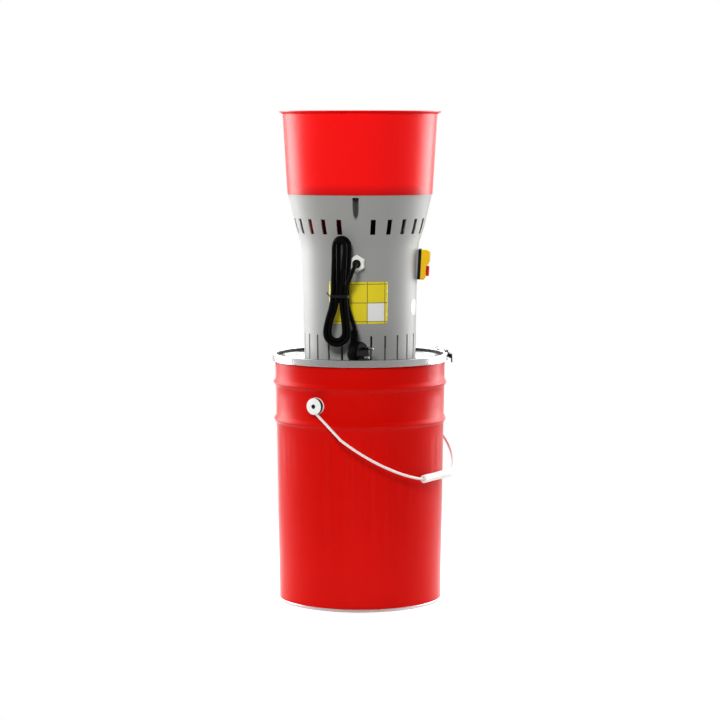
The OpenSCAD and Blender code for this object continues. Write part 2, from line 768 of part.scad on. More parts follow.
module funnel_cone(t) {
    hull() {
        translate([0, 0, hopper_z + ledge_h - ledge_t]) cylinder(r = ledge_r - t, h = ledge_t, $fn = 72);
        translate([-feed_r, 0, spout_z + spout_l])
            cylinder(r = spout_r + funnel_t - t, h = funnel_lip, $fn = 72);
    }
}

module hopper() color("red") on_head() difference() {
    union() {
        translate([0, 0, hopper_z]) rotate_extrude($fn = 128) polygon([
            [hopper_foot_r - hopper_t, 0], [hopper_foot_r, 0], [hopper_top_r, hopper_h - rim_t],
            [rim_r, hopper_h - rim_t], [rim_r, hopper_h], [hopper_top_r - hopper_t, hopper_h],
            [hopper_r(ledge_h) - hopper_t, ledge_h], [ledge_r - funnel_t, ledge_h],
            [ledge_r - funnel_t, ledge_h - ledge_t],
            [hopper_r(ledge_h - ledge_t) - hopper_t, ledge_h - ledge_t]]);
        for (a = [0 : 120 : 240]) at_az(a, groove_axis_r, hopper_z)
            cylinder(r = hopper_boss_r, h = ledge_h - ledge_t / 2);
        difference() {
            funnel_cone(0);
            funnel_cone(funnel_t);
            translate([0, 0, hopper_z + ledge_h]) cylinder(r = ledge_r, h = ledge_t);
        }
        translate([-feed_r, 0, 0]) tube(spout_r + funnel_t, spout_r, spout_z, spout_z + spout_l + over);
    }
    translate([0, 0, hopper_z + ledge_h - ledge_t - over])
        cylinder(r = ledge_r - funnel_t, h = ledge_t + 2 * over);
    translate([-feed_r, 0, spout_z - over]) cylinder(r = spout_r, h = spout_l + 4 * over);
    for (a = [0 : 120 : 240]) at_az(a, groove_axis_r, hopper_z - over)
        cylinder(r = screw_r + hair, h = screw_l + over);
}

module hopper_screws() color("gray") groove_screws() {
    translate([0, 0, flange_low_z - screw_head_h]) cylinder(r = screw_head_r, h = screw_head_h);
    translate([0, 0, flange_low_z - over]) cylinder(r = screw_r, h = casing_flange_t + screw_l);
}

module casing_screws() color("gray") base_bosses() {
    translate([0, 0, plate_top_z - screw_head_h]) cylinder(r = screw_head_r, h = screw_head_h);
    translate([0, 0, plate_top_z - screw_head_h / 2]) cylinder(r = screw_r, h = screw_l);
}

// Feed gate and chute
gate_r = spout_r + gate_lap;
gate_z = spout_z - gate_play - gate_t;
chute_top_z = gate_z - gate_play;

module feed_gate() color("silver") on_head() translate([-feed_r, 0, gate_z]) {
    cylinder(r = gate_r, h = gate_t);
    translate([-gate_tongue_w / 2, 0, 0]) cube([gate_tongue_w, gate_reach, gate_t]);
}

module gate_knob() color("black") on_head() translate([-feed_r, gate_reach + hair, gate_z + gate_t / 2])
    rotate([-90, 0, 0]) rotate_extrude() polygon([
        [0, 0], [gate_knob_r * 0.7, 0], [gate_knob_r, gate_knob_r * 0.5], [gate_knob_r, gate_knob_r * 1.2],
        [gate_knob_r * 0.8, gate_knob_r * 1.5], [0, gate_knob_r * 1.6]]);

module feed_chute() color("silver") on_head() translate([-feed_r, 0, 0]) {
    tube(chute_r + chute_t, chute_r, plate_top_z, chute_top_z);
    tube(chute_flange_r, chute_r, chute_top_z - chute_flange_t, chute_top_z);
}

// Motor
motor_z = lid_z + foot_h;
frame_z = motor_z + shield_t;
frame_top_z = frame_z + frame_l;
core_z = frame_z + (frame_l - core_l) / 2;
fan_gap = 6;
fan_edge = 1;
fan_hub_t = 5;
fan_blades = 8;
shaft_end = 3;
shield_bore_gap = 2;
shield_floor = 3;
bolt_spare = 6;
fan_z = frame_top_z + shield_t + fan_gap;
shaft_top_z = fan_z + fan_h + shaft_end;

module motor_frame() color("slategray") {
    tube(motor_r, motor_r - frame_t, frame_z, frame_top_z);
}

module shield(z, up) {
    seat_z = up ? z : z + shield_t - bearing_w;
    difference() {
        translate([0, 0, z]) cylinder(r = motor_r, h = shield_t);
        translate([0, 0, z - over]) cylinder(r = shaft_r + shield_bore_gap, h = shield_t + 2 * over);
        translate([0, 0, up ? z - over : seat_z]) cylinder(r = bearing_r + hair, h = bearing_w + over);
    }
}

module lower_shield() color("gray") difference() {
    union() {
        shield(motor_z, false);
        motor_feet() translate([0, 0, lid_z]) cylinder(r = foot_r, h = foot_h + over);
    }
    motor_feet() translate([0, 0, lid_z - over])
        cylinder(r = bolt_r + hair, h = foot_h + shield_t - shield_floor + over);
}

module upper_shield() color("gray") shield(frame_top_z, true);

module motor_bolts() color("silver") motor_feet() {
    translate([0, 0, plate_z - bolt_head_h]) hex(bolt_af, bolt_head_h);
    translate([0, 0, plate_z - bolt_head_h / 2])
        cylinder(r = bolt_r, h = lid_z - plate_z + foot_h + shield_t - bolt_spare);
}

module stator_core() color("dimgray")
    tube(motor_r - frame_t - hair, stator_bore_r, core_z, core_z + core_l);

winding_h = (frame_l - core_l) / 2 - 2;
winding_r = motor_r - frame_t - 5;
winding_bore_r = stator_bore_r + 3;
module stator_windings() color("darkorange") {
    tube(winding_r, winding_bore_r, core_z - winding_h, core_z);
    tube(winding_r, winding_bore_r, core_z + core_l, core_z + core_l + winding_h);
}

module rotor_core() color("gray") tube(stator_bore_r - air_gap, shaft_r + hair, core_z, core_z + core_l);

module rotor_shaft() color("silver") translate([0, 0, shaft_low_z])
    cylinder(r = shaft_r, h = shaft_top_z - shaft_low_z);

module shaft_bearings() color("lightsteelblue") {
    tube(bearing_r, shaft_r + shaft_play, frame_z - bearing_w, frame_z);
    tube(bearing_r, shaft_r + shaft_play, frame_top_z, frame_top_z + bearing_w);
}

module cooling_fan() color("black") difference() {
    translate([0, 0, fan_z]) {
        cylinder(r = fan_r, h = fan_t);
        cylinder(r = shaft_r + fan_hub_t, h = fan_h);
        for (i = [1 : fan_blades]) at_az(i * 360 / fan_blades, fan_r - fan_edge)
            translate([-fan_t / 2, 0, 0]) cube([fan_t, fan_r - fan_edge - shaft_r - fan_hub_t / 2, fan_h]);
    }
    translate([0, 0, fan_z - over]) cylinder(r = shaft_r + hair, h = fan_h + 2 * over);
}

// Midway between the motor and the casing's wall
inner_ring_r = (motor_r + casing_foot_r - casing_t) / 2;
capacitor_az = 150;
module run_capacitor() color("white") on_head() at_az(capacitor_az, inner_ring_r, lid_z)
    cylinder(r = capacitor_r, h = capacitor_l);

terminal_az = 30;
terminal_w = 36;
terminal_d = 18;
terminal_h = 22;
terminal_pitch = 11;
terminal_hole_r = 3;
terminal_hole_l = 10;
module terminal_block() color("ivory") on_head() at_az(terminal_az, inner_ring_r, lid_z) difference() {
    block(terminal_w, terminal_d, terminal_h);
    for (i = [-1 : 1]) translate([i * terminal_pitch, 0, terminal_h - terminal_hole_l])
        cylinder(r = terminal_hole_r, h = terminal_hole_l + over);
}

// Mill under the lid
plate_top_z = lid_z - lid_t;
plate_z = plate_top_z - plate_t;
sieve_z = plate_z - sieve_h;
cover_z = sieve_z - cover_t;
blade_low_z = sieve_z + blade_z;
washer_z = blade_low_z - washer_t;
nut_z = washer_z - nut_h;
shaft_low_z = nut_z - shaft_end;
hub_top_z = plate_z - hub_gap;
stud_l = 14;

module studs_at() {
    on_head() for (a = [30 : 120 : 270]) at_az(a, stud_ring_r) children();
}

module head_plate() color("silver") difference() {
    translate([0, 0, plate_z]) cylinder(r = plate_r, h = plate_t, $fn = 128);
    translate([0, 0, plate_z - over]) cylinder(r = seal_r + hair, h = plate_t + 2 * over);
    feed_hole(chute_r, plate_z - over, plate_top_z + over);
    motor_feet() translate([0, 0, plate_z - over]) cylinder(r = bolt_r + hole_play, h = plate_t + 2 * over);
    base_bosses() translate([0, 0, plate_z - over])
        cylinder(r = screw_head_r + hole_play, h = plate_t + 2 * over);
    studs_at() translate([0, 0, plate_z - over]) cylinder(r = stud_r + hair, h = plate_t + over);
}

module shaft_seal() color("black") tube(seal_r, shaft_r + shaft_play, plate_z, plate_top_z);

module sieve() color("silver") difference() {
    tube(sieve_r + sieve_t, sieve_r, sieve_z, plate_z);
    row_h = sieve_h / sieve_rows;
    for (i = [0 : sieve_cols - 1], j = [0 : sieve_rows - 1])
        facing((i + (j % 2) / 2) * 360 / sieve_cols, sieve_r - over, sieve_z + (j + 0.5) * row_h)
            cylinder(r = sieve_hole_r, h = sieve_t + 2 * over, $fn = 24);
}

module sieve_cover() color("silver") difference() {
    translate([0, 0, cover_z]) cylinder(r = plate_r, h = cover_t, $fn = 128);
    studs_at() translate([0, 0, cover_z - over]) cylinder(r = stud_r + hole_play, h = cover_t + 2 * over);
}

module sieve_studs() color("gray") studs_at()
    translate([0, 0, cover_z - stud_l]) cylinder(r = stud_r, h = plate_top_z - cover_z + stud_l);

wing_nut_r = stud_r + 2.5;
wing_nut_h = 7;
wing_w = 24;
wing_t = 2.5;
wing_h = 9;
wing_drop = 11;
module wing_nuts() color("silver") studs_at() difference() {
    union() {
        translate([0, 0, cover_z - wing_nut_h]) cylinder(r = wing_nut_r, h = wing_nut_h);
        translate([0, 0, cover_z - wing_drop]) block(wing_w, wing_t, wing_h);
    }
    translate([0, 0, cover_z - wing_drop - over]) cylinder(r = stud_r + hair, h = wing_drop + 2 * over);
}

module blade_hub() color("gray") tube(hub_r, shaft_r + hair, blade_low_z + blade_t, hub_top_z);

module blade() color("silver") translate([0, 0, blade_low_z]) difference() {
    linear_extrude(blade_t) polygon([
        [-blade_l / 2, -blade_w / 4], [-blade_w / 2, -blade_w / 2], [blade_l / 2, -blade_w / 2],
        [blade_l / 2, blade_w / 4], [blade_w / 2, blade_w / 2], [-blade_l / 2, blade_w / 2]]);
    translate([0, 0, -over]) cylinder(r = shaft_r + hair, h = blade_t + 2 * over);
}

module blade_washer() color("silver") tube(hub_r, shaft_r + hair, washer_z, blade_low_z);

module blade_nut() color("gray") difference() {
    translate([0, 0, nut_z]) hex(nut_af, nut_h);
    translate([0, 0, nut_z - over]) cylinder(r = shaft_r + hair, h = nut_h + 2 * over);
}

// Switch
housing_z = switch_gasket_t;
housing_floor = 1;
start_y = 13.5;
stop_y = -11.5;
screw_x = button_w / 2 + 5.5;
screw_seat = 2;
screw_sunk = 0.5;
switch_corner_r = 4;
button_corner_r = 2;
button_low = housing_floor + button_travel + button_play;

module rounded_plate(w, l, h, r) {
    linear_extrude(h) {
        translate([-w / 2 + r, -l / 2]) square([w - 2 * r, l]);
        translate([-w / 2, -l / 2 + r]) square([w, l - 2 * r]);
        for (x = [-1, 1], y = [-1, 1]) translate([x * (w / 2 - r), y * (l / 2 - r)]) circle(r, $fn = 32);
    }
}

module switch_gasket() color("black") on_pad() translate([0, 0, hair]) difference() {
    rounded_plate(switch_w, switch_l, switch_gasket_t - hair, switch_corner_r);
    translate([0, 0, -over]) block_room(switch_gasket_t + 2 * over);
}

// Side outline of the housing: stepped back in its lower half, rounded at its top
module housing_side() {
    l = switch_l / 2;
    polygon([
        [0, -l], [switch_low_d - 3, -l], [switch_low_d, 4 - l], [switch_low_d, -1.8],
        [switch_high_d - 1.5, 1.2], [switch_high_d, 6], [switch_high_d, l - 6],
        [switch_high_d - 2, l - 1.8], [switch_high_d - 5, l], [0, l]]);
}

module switch_housing() color("gold") on_pad() translate([0, 0, housing_z]) difference() {
    intersection() {
        translate([-switch_w / 2, 0, 0]) rotate([90, 0, 90]) linear_extrude(switch_w)
            rotate(90) mirror([0, 1]) housing_side();
        rounded_plate(switch_w, switch_l, 2 * switch_high_d, switch_corner_r);
    }
    for (y = [start_y, stop_y]) translate([0, y, housing_floor])
        block(button_w + 2 * button_play, button_l + 2 * button_play, 2 * switch_high_d);
    for (x = [-1, 1]) translate([x * screw_x, stop_y, screw_seat])
        cylinder(r = switch_screw_r + hole_play, h = 2 * switch_high_d);
}

module switch_block() color("black") on_pad() translate([0, 0, over - block_d])
    block(block_w, block_l, block_d + switch_gasket_t - over);

module button(y, top) {
    on_pad() translate([0, y, housing_z + button_low])
        rounded_plate(button_w, button_l, top - button_low, button_corner_r);
}

module start_button() color("green") button(start_y, switch_high_d - start_sunk);

module stop_button() color("crimson") button(stop_y, switch_low_d + stop_proud);

module switch_screws() color("gray") on_pad() for (x = [-1, 1])
    translate([x * screw_x, stop_y, housing_z + screw_seat])
        cylinder(r = switch_screw_r, h = switch_low_d - screw_seat - screw_sunk);

// Gland
gland_nut_af = gland_af - 3;
gland_nut_taper = 4;
gland_nut_seat = 4;
lock_nut_gap = 1.4;
cord_play = 0.3;
module gland_body() color("white") on_head() facing(gland_az, gland_face_r, gland_z) {
    rotate(30) hex(gland_af, gland_flange_t);
    translate([0, 0, -gland_thread_l]) cylinder(r = gland_thread_r, h = gland_thread_l + over);
}

module gland_nut() color("white") on_head()
    facing(gland_az, gland_face_r + gland_flange_t, gland_z) difference() {
        union() {
            rotate(30) hex(gland_nut_af, gland_nut_l * 0.6);
            cylinder(r1 = gland_nut_af / 2, r2 = gland_nut_af / 2 - gland_nut_taper, h = gland_nut_l);
        }
        translate([0, 0, gland_nut_seat]) cylinder(r = cord_d / 2 + cord_play, h = gland_nut_l);
    }

module gland_lock_nut() color("white") on_head() facing(gland_az, 0, gland_z)
    translate([0, 0, casing_r(gland_h) - casing_t - lock_nut_gap - lock_nut_t]) difference() {
        hex(gland_nut_af, lock_nut_t);
        translate([0, 0, -over]) cylinder(r = gland_thread_r + hair, h = lock_nut_t + 2 * over);
    }

// Cord: a hank of loops hangs in front of the casing, drawn in at the waist by a tie.
// The hank has its own axes: across along the casing, out from the mill's axis, and up.
hank_az = -19;
hank_back = 119.3;
hank_layer = 8.3;
hank_step = 8.6;
hank_loops = 3;
hank_low_z = 492.5;
hank_waist_z = 556;
hank_top_z = 644;
hank_low_w = 24;
hank_waist_w = 14.4;
hank_top_w = 16.4;
hank_waist_x = 3;
hank_top_x = 6.5;
fold_steps = 6;
run_steps = 3;
// Shares of a turn in one run from the waist and in one fold
run_share = 0.15;
fold_share = 0.2;
cord_r = cord_d / 2;

function hank_point(p) = concat(
    [p[0] * cos(hank_az) + p[1] * sin(hank_az), p[0] * sin(hank_az) - p[1] * cos(hank_az)], [p[2]]);
function ease(t) = t * t * (3 - 2 * t);
function mix(a, b, t) = a + (b - a) * t;
// The loops spiral in to the middle and out again
function drawn_in(n) = hank_step * min(n, hank_loops - n);
// The climb from the front layer to the back one lies along the run in the middle
function layer(n) = hank_back + hank_layer * (1 - ease(max(0, min(1, (n - hank_loops / 2) * 4 + 0.5))));
// One turn: down the right, round the low fold, up the left, round the top fold, down the right
function run_at(n, side, t, low) =
    let (w = hank_waist_w - drawn_in(n), l = low ? hank_low_w - drawn_in(n) : hank_top_w - drawn_in(n),
         x0 = low ? 0 : hank_top_x)
    [mix(hank_waist_x + side * w, x0 + side * l, ease(t)), layer(n),
     mix(hank_waist_z, low ? hank_low_z : hank_top_z, t)];
function fold_at(n, angle, low) =
    let (w = (low ? hank_low_w : hank_top_w) - drawn_in(n), x0 = low ? 0 : hank_top_x)
    [x0 + w * cos(angle), layer(n), (low ? hank_low_z : hank_top_z) + w * sin(angle)];
function turn_at(k) = concat(
    [for (i = [0 : run_steps - 1]) run_at(k + run_share * i / run_steps, 1, i / run_steps, true)],
    [for (i = [0 : fold_steps - 1])
        fold_at(k + run_share + fold_share * i / fold_steps, -180 * i / fold_steps, true)],
    [for (i = [0 : run_steps - 1])
        run_at(k + run_share + fold_share + run_share * i / run_steps, -1, 1 - i / run_steps, true)],
    [for (i = [0 : run_steps - 1]) run_at(k + 1 / 2 + run_share * i / run_steps, -1, i / run_steps, false)],
    [for (i = [0 : fold_steps - 1])
        fold_at(k + 1 / 2 + run_share + fold_share * i / fold_steps, 180 - 180 * i / fold_steps, false)],
    [for (i = [0 : run_steps - 1])
        run_at(k + 1 - run_share + run_share * i / run_steps, 1, 1 - i / run_steps, false)]);
hank_first = run_at(0, 1, 0, true);
hank_last = run_at(hank_loops, 1, 0, true);
hank_in = hank_first + [0, 0, cord_d];
hank_out = hank_last - [0, 0, cord_d];
hank_local = concat([hank_in], [for (k = [0 : hank_loops - 1]) each turn_at(k)], [hank_last, hank_out]);
hank_path = [for (p = hank_local) hank_point(p)];

// Free stretches of the cord, as points across, out and up in the hank's axes
gland_mouth = let (a = casing_turn + gland_az - hank_az, r = gland_face_r + gland_flange_t + gland_nut_seat)
    [r * sin(a), r * cos(a), gland_z];
lead_local = concat([gland_mouth, gland_mouth + [2.2, 7.7, 0]], [
    [34.6, 123.5, 611.5], [34.6, 129.5, 608.5], [33, 133.5, 602], [30, 134.5, 594.5],
    [26.5, 133.5, 587], [22.8, 131, 579.5], [19.3, 128.7, 571.5]], [hank_in]);
lead_path = [for (p = lead_local) hank_point(p)];
relief_at = [-9.5, -120.5];
relief_x = 5.5;
relief_l = 20;
relief_foot_r = 9;
relief_wall = 2.2;
plug_lift = 0.1;
relief_top_z = lid_z + 2 * plug_r + relief_l;
tail_local = [hank_out, [17.8, 119.2, 543], [19.2, 118.7, 536], [21.5, 118.2, 527.5], [24.2, 117.8, 519],
    [27.2, 117.4, 511], [29.5, 117.1, 503.5]];
tail_path = concat([for (p = tail_local) hank_point(p)], [concat(relief_at, relief_top_z)]);

function unit(v) = v / norm(v);
function path_dir(path, i, first, last) =
    i == 0 ? first : i == len(path) - 1 ? last :
        unit(unit(path[i + 1] - path[i]) + unit(path[i] - path[i - 1]));
// Carries the ring's reference direction along the path without twist
function carried(path, dirs, side, i) =
    i == 0 ? side : let (s = carried(path, dirs, side, i - 1), d = dirs[i]) unit(s - d * (s * d));

module sweep(path, r, sides, first, last, side) {
    dirs = [for (i = [0 : len(path) - 1]) path_dir(path, i, first, last)];
    n = len(path);
    points = [for (i = [0 : n - 1]) let (s = carried(path, dirs, side, i), t = cross(dirs[i], s))
        for (j = [0 : sides - 1]) path[i] + r * (s * cos(360 * j / sides) + t * sin(360 * j / sides))];
    walls = [for (i = [0 : n - 2], j = [0 : sides - 1])
        let (k = (j + 1) % sides, a = i * sides, b = a + sides)
        each [[a + j, b + j, a + k], [a + k, b + j, b + k]]];
    caps = concat([for (j = [1 : sides - 2]) [0, j, j + 1]],
        [for (j = [1 : sides - 2]) [(n - 1) * sides, (n - 1) * sides + j + 1, (n - 1) * sides + j]]);
    polyhedron(points, concat(walls, caps));
}

down = [0, 0, -1];
gland_dir = concat(polar(1, casing_turn + gland_az), [0]);
module cord_lead() color("black") sweep(lead_path, cord_r, 10, gland_dir, down, [0, 0, 1]);
module cord_hank() color("black") sweep(hank_path, cord_r, 6, down, down, [cos(hank_az), sin(hank_az), 0]);
module cord_tail() color("black") sweep(tail_path, cord_r, 10, down, down, [1, 0, 0]);

function path_length(p) = len(p) < 2 ? 0 : sum([for (i = [1 : len(p) - 1]) norm(p[i] - p[i - 1])]);
function sum(v, i = 0) = i >= len(v) ? 0 : v[i] + sum(v, i + 1);
// Distance between two straight pieces of the cord, on points along them
gap_steps = 4;
// Pieces of the path that are next to each other and so aren't compared
next_pieces = 8;
function piece_gap(a, b, c, d) = min([for (i = [0 : gap_steps], j = [0 : gap_steps])
    norm(mix(a, b, i / gap_steps) - mix(c, d, j / gap_steps))]);
function hank_gap() = let (p = hank_path, n = len(p))
    min([for (i = [0 : n - next_pieces - 1], j = [i + next_pieces : n - 2])
        piece_gap(p[i], p[i + 1], p[j], p[j + 1])]) - cord_d;
union() {
    echo(least_gap = hank_gap());
    echo(lengths = [path_length(lead_path), path_length(hank_path), path_length(tail_path)]);
}

tie_t = 1.2;
tie_h = 5;
tie_play = 0.4;
tie_x0 = hank_waist_x - (hank_waist_w - hank_step / 2) - cord_r - tie_play;
tie_x1 = hank_waist_x + hank_waist_w + cord_r + tie_play;
tie_y0 = hank_back - cord_r - tie_play;
tie_y1 = hank_back + hank_layer + cord_r + tie_play;
module cord_tie() color("black") rotate([0, 0, hank_az])
    translate([(tie_x0 + tie_x1) / 2, -(tie_y0 + tie_y1) / 2, hank_waist_z - tie_h / 2]) difference() {
        rounded_plate(tie_x1 - tie_x0 + 2 * tie_t, tie_y1 - tie_y0 + 2 * tie_t, tie_h, cord_r + tie_t);
        translate([0, 0, -over]) rounded_plate(tie_x1 - tie_x0, tie_y1 - tie_y0, tie_h + 2 * over, cord_r);
    }

// Plug: round and angled, standing on the lid with its pins to the right and to the front
plug_z = lid_z + plug_r + plug_lift;
plug_turn = 37;
pin_turn = -40;
module on_plug() translate(concat(relief_at, plug_z)) rotate([0, 0, -plug_turn]) translate([-relief_x, 0, 0])
    children();

module plug_body() color("black") {
    on_plug() rotate([0, 90, 0]) rotate_extrude() polygon([
        [0, 0], [plug_r - 5, 0], [plug_r - 1.5, 2], [plug_r, 6], [plug_r, plug_t - 3],
        [plug_r - 2, plug_t], [0, plug_t]]);
    translate(concat(relief_at, plug_z))
        cylinder(r1 = relief_foot_r, r2 = cord_r + relief_wall, h = relief_top_z - plug_z);
}

module plug_pins() color("silver") on_plug() translate([plug_t, 0, 0]) rotate([pin_turn, 0, 0])
    for (s = [-1, 1]) translate([0, 0, s * plug_pin_gap / 2]) rotate([0, 90, 0]) {
        cylinder(r = plug_pin_r, h = plug_pin_l - plug_pin_r);
        translate([0, 0, plug_pin_l - plug_pin_r]) sphere(plug_pin_r, $fn = 32);
    }

drum_shell();
drum_bottom();
bail_ears();
bail_wire();
bail_grip();
lid();
lid_gasket();
closing_ring();
ring_lugs();
latch_pins();
latch_lever();
lever_pin();
latch_link();
casing();
hopper();
hopper_screws();
casing_screws();
feed_gate();
gate_knob();
feed_chute();
motor_frame();
lower_shield();
upper_shield();
motor_bolts();
stator_core();
stator_windings();
rotor_core();
rotor_shaft();
shaft_bearings();
cooling_fan();
run_capacitor();
terminal_block();
head_plate();
shaft_seal();
sieve();
sieve_cover();
sieve_studs();
wing_nuts();
blade_hub();
blade();
blade_washer();
blade_nut();
switch_gasket();
switch_housing();
switch_block();
start_button();
stop_button();
switch_screws();
gland_body();
gland_nut();
gland_lock_nut();
cord_lead();
cord_hank();
cord_tail();
cord_tie();
plug_body();
plug_pins();
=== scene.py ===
"""Electric grain mill on a steel drum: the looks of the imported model.

Sizes are millimetres in the part's frame, +Z up and -Y to the front; MM turns them into metres.
"""
import math

import bmesh
import bpy
from mathutils import Matrix, Vector


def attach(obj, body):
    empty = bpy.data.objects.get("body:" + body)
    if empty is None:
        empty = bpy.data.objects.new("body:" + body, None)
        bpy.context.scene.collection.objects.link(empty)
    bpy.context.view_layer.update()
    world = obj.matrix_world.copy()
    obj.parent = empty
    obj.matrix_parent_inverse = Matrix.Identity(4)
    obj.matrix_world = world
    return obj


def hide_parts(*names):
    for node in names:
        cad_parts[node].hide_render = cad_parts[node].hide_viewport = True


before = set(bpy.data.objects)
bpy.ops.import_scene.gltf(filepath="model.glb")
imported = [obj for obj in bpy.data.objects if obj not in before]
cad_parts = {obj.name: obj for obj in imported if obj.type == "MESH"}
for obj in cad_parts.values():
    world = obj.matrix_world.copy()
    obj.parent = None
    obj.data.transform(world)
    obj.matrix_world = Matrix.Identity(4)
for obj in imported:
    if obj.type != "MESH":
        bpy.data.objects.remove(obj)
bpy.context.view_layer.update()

MM = 0.001
scene = bpy.context.scene

# Sizes that the finish pieces share with the solids
DRUM_FOOT_R = 145.5
DRUM_TOP_R = 152.75
DRUM_H = 435
HOOP_ZS = (329, 395)
HOOP_H = 16
HOOP_PROUD = 4
EAR_AZ = -30
EAR_Z = 364
EAR_FLOOR_R = 154.1
EAR_CAP_R = 161.2
EAR_FACE_R = 163.25
EAR_FLANGE_R = 15
EYE_R = 11.6
LID_Z = 438.5
LID_TOP_Z = 445
HOPPER_Z = 732
RIM_R = 145.1
RIM_TOP_Z = 879.4
RIM_EDGE = 0.5
RIM_TAPER = 2.8
CASING_TURN = -3.5
CASING_OUTLINE = ((0, 100), (115.5, 101.7), (191.5, 104.5), (207.5, 106.2), (234.5, 114.9), (293.5, 129.3))
SWITCH_AZ = 90
SWITCH_Z = 607
SWITCH_TILT = 3
PAD_R = 104.6
SWITCH_GASKET_T = 5.6
GLAND_AZ = 0.5
GLAND_H = 174
GLAND_AF = 27
GLAND_FLANGE_T = 5
GLAND_SEAT = 4
GLAND_NUT_L = 9
PLUG_R = 19
PLUG_T = 23
PLUG_Z = LID_Z + 19.1
PLUG_TURN = 37
PLUG_PIN_R = 2.4
PLUG_PIN_GAP = 19
PLUG_PIN_TURN = -40
RELIEF_AT = (-9.5, -120.5)
RELIEF_X = 5.5
RELIEF_TOP_Z = LID_Z + 2 * PLUG_R + 20
CORD_D = 7.4
HAIR = 0.05


def outward(azimuth):
    a = math.radians(azimuth)
    return Vector((math.sin(a), -math.cos(a), 0))


def facing(azimuth, radius, z):
    """A place on the mill's side: X along the side, Y up and Z outward."""
    out = outward(azimuth)
    up = Vector((0, 0, 1))
    side = up.cross(out)
    place = Matrix((side, up, out)).transposed().to_4x4()
    place.translation = (out * radius + up * z) * MM
    return place


def interpolate(points, x):
    for (x0, y0), (x1, y1) in zip(points, points[1:]):
        if x <= x1:
            return y0 + (y1 - y0) * (x - x0) / (x1 - x0)
    return points[-1][1]


def casing_r(z):
    return interpolate(CASING_OUTLINE, z - LID_Z)


def drum_r(z):
    r = DRUM_FOOT_R + (DRUM_TOP_R - DRUM_FOOT_R) * z / DRUM_H
    for at in HOOP_ZS:
        if abs(z - at) < HOOP_H / 2:
            r += HOOP_PROUD * (1 + math.cos(2 * math.pi * (z - at) / HOOP_H)) / 2
    return r


# Camera

CAMERA_LENS = 121.94
CAMERA_SENSOR = 36
CAMERA_PLACE_M = (0, -4.380, 0.834)
CAMERA_DIP = 5.23

camera_data = bpy.data.cameras.new("studio_camera")
camera_data.lens = CAMERA_LENS
camera_data.sensor_width = CAMERA_SENSOR
camera_data.sensor_fit = "HORIZONTAL"
camera = bpy.data.objects.new("studio_camera", camera_data)
camera.location = CAMERA_PLACE_M
camera.rotation_euler = (math.radians(90 - CAMERA_DIP), 0, 0)
scene.collection.objects.link(camera)
scene.camera = camera


# Shader groups

def math_node(tree, operation, *values):
    """A math node whose inputs are numbers or other nodes' outputs."""
    node = tree.nodes.new("ShaderNodeMath")
    node.operation = operation
    for socket, value in zip(node.inputs, values):
        if isinstance(value, (int, float)):
            socket.default_value = value
        else:
            tree.links.new(value, socket)
    return node.outputs[0]


def faded(tree, value, start, end, low, high):
    """A smooth change from low to high as the value goes from start to end."""
    change = tree.nodes.new("ShaderNodeMapRange")
    change.interpolation_type = "SMOOTHSTEP"
    for label, number in (("From Min", start), ("From Max", end), ("To Min", low), ("To Max", high)):
        change.inputs[label].default_value = number
    tree.links.new(value, change.inputs["Value"])
    return change.outputs["Result"]


def mixed(tree, factor, first, second):
    """A colour between two: each is a colour or another node's output."""
    node = tree.nodes.new("ShaderNodeMix")
    node.data_type = "RGBA"
    tree.links.new(factor, node.inputs["Factor"])
    for socket, value in ((node.inputs[6], first), (node.inputs[7], second)):
        if isinstance(value, tuple):
            socket.default_value = (*value, 1)
        else:
            tree.links.new(value, socket)
    return node.outputs[2]


def shader_group(name, inputs, outputs):
    tree = bpy.data.node_groups.new(name, "ShaderNodeTree")
    for label, kind, value in inputs:
        socket = tree.interface.new_socket(label, in_out="INPUT", socket_type=kind)
        socket.default_value = value
    for label, kind in outputs:
        tree.interface.new_socket(label, in_out="OUTPUT", socket_type=kind)
    enter = tree.nodes.new("NodeGroupInput")
    leave = tree.nodes.new("NodeGroupOutput")
    return tree, enter, leave


def noise_on_object(tree, stretch=(1, 1, 1)):
    """A noise texture on object coordinates, stretched along an axis by a small scale there."""
    where = tree.nodes.new("ShaderNodeTexCoord")
    turn = tree.nodes.new("ShaderNodeMapping")
    turn.inputs["Scale"].default_value = stretch
    noise = tree.nodes.new("ShaderNodeTexNoise")
    tree.links.new(where.outputs["Object"], turn.inputs["Vector"])
    tree.links.new(turn.outputs["Vector"], noise.inputs["Vector"])
    return noise


def patchy_tone_group():
    """Cloudy change of brightness and gloss, as on handled paint and moulded plastic."""
    tree, enter, leave = shader_group(
        "patchy_tone",
        [("Color", "NodeSocketColor", (1, 1, 1, 1)), ("Scale", "NodeSocketFloat", 8.0),
         ("Tone", "NodeSocketFloat", 0.08), ("Roughness", "NodeSocketFloat", 0.4),
         ("Roughness Change", "NodeSocketFloat", 0.1)],
        [("Color", "NodeSocketColor"), ("Roughness", "NodeSocketFloat")])
    noise = noise_on_object(tree)
    noise.inputs["Detail"].default_value = 6
    link = tree.links.new
    link(enter.outputs["Scale"], noise.inputs["Scale"])
    centred = math_node(tree, "SUBTRACT", noise.outputs["Fac"], 0.5)
    tone = math_node(tree, "MULTIPLY_ADD", centred, enter.outputs["Tone"], 1.0)
    rough = math_node(tree, "MULTIPLY_ADD", centred, enter.outputs["Roughness Change"],
                      enter.outputs["Roughness"])
    shaded = tree.nodes.new("ShaderNodeVectorMath")
    shaded.operation = "SCALE"
    link(enter.outputs["Color"], shaded.inputs[0])
    link(tone, shaded.inputs["Scale"])
    link(shaded.outputs[0], leave.inputs["Color"])
    link(rough, leave.inputs["Roughness"])
    return tree


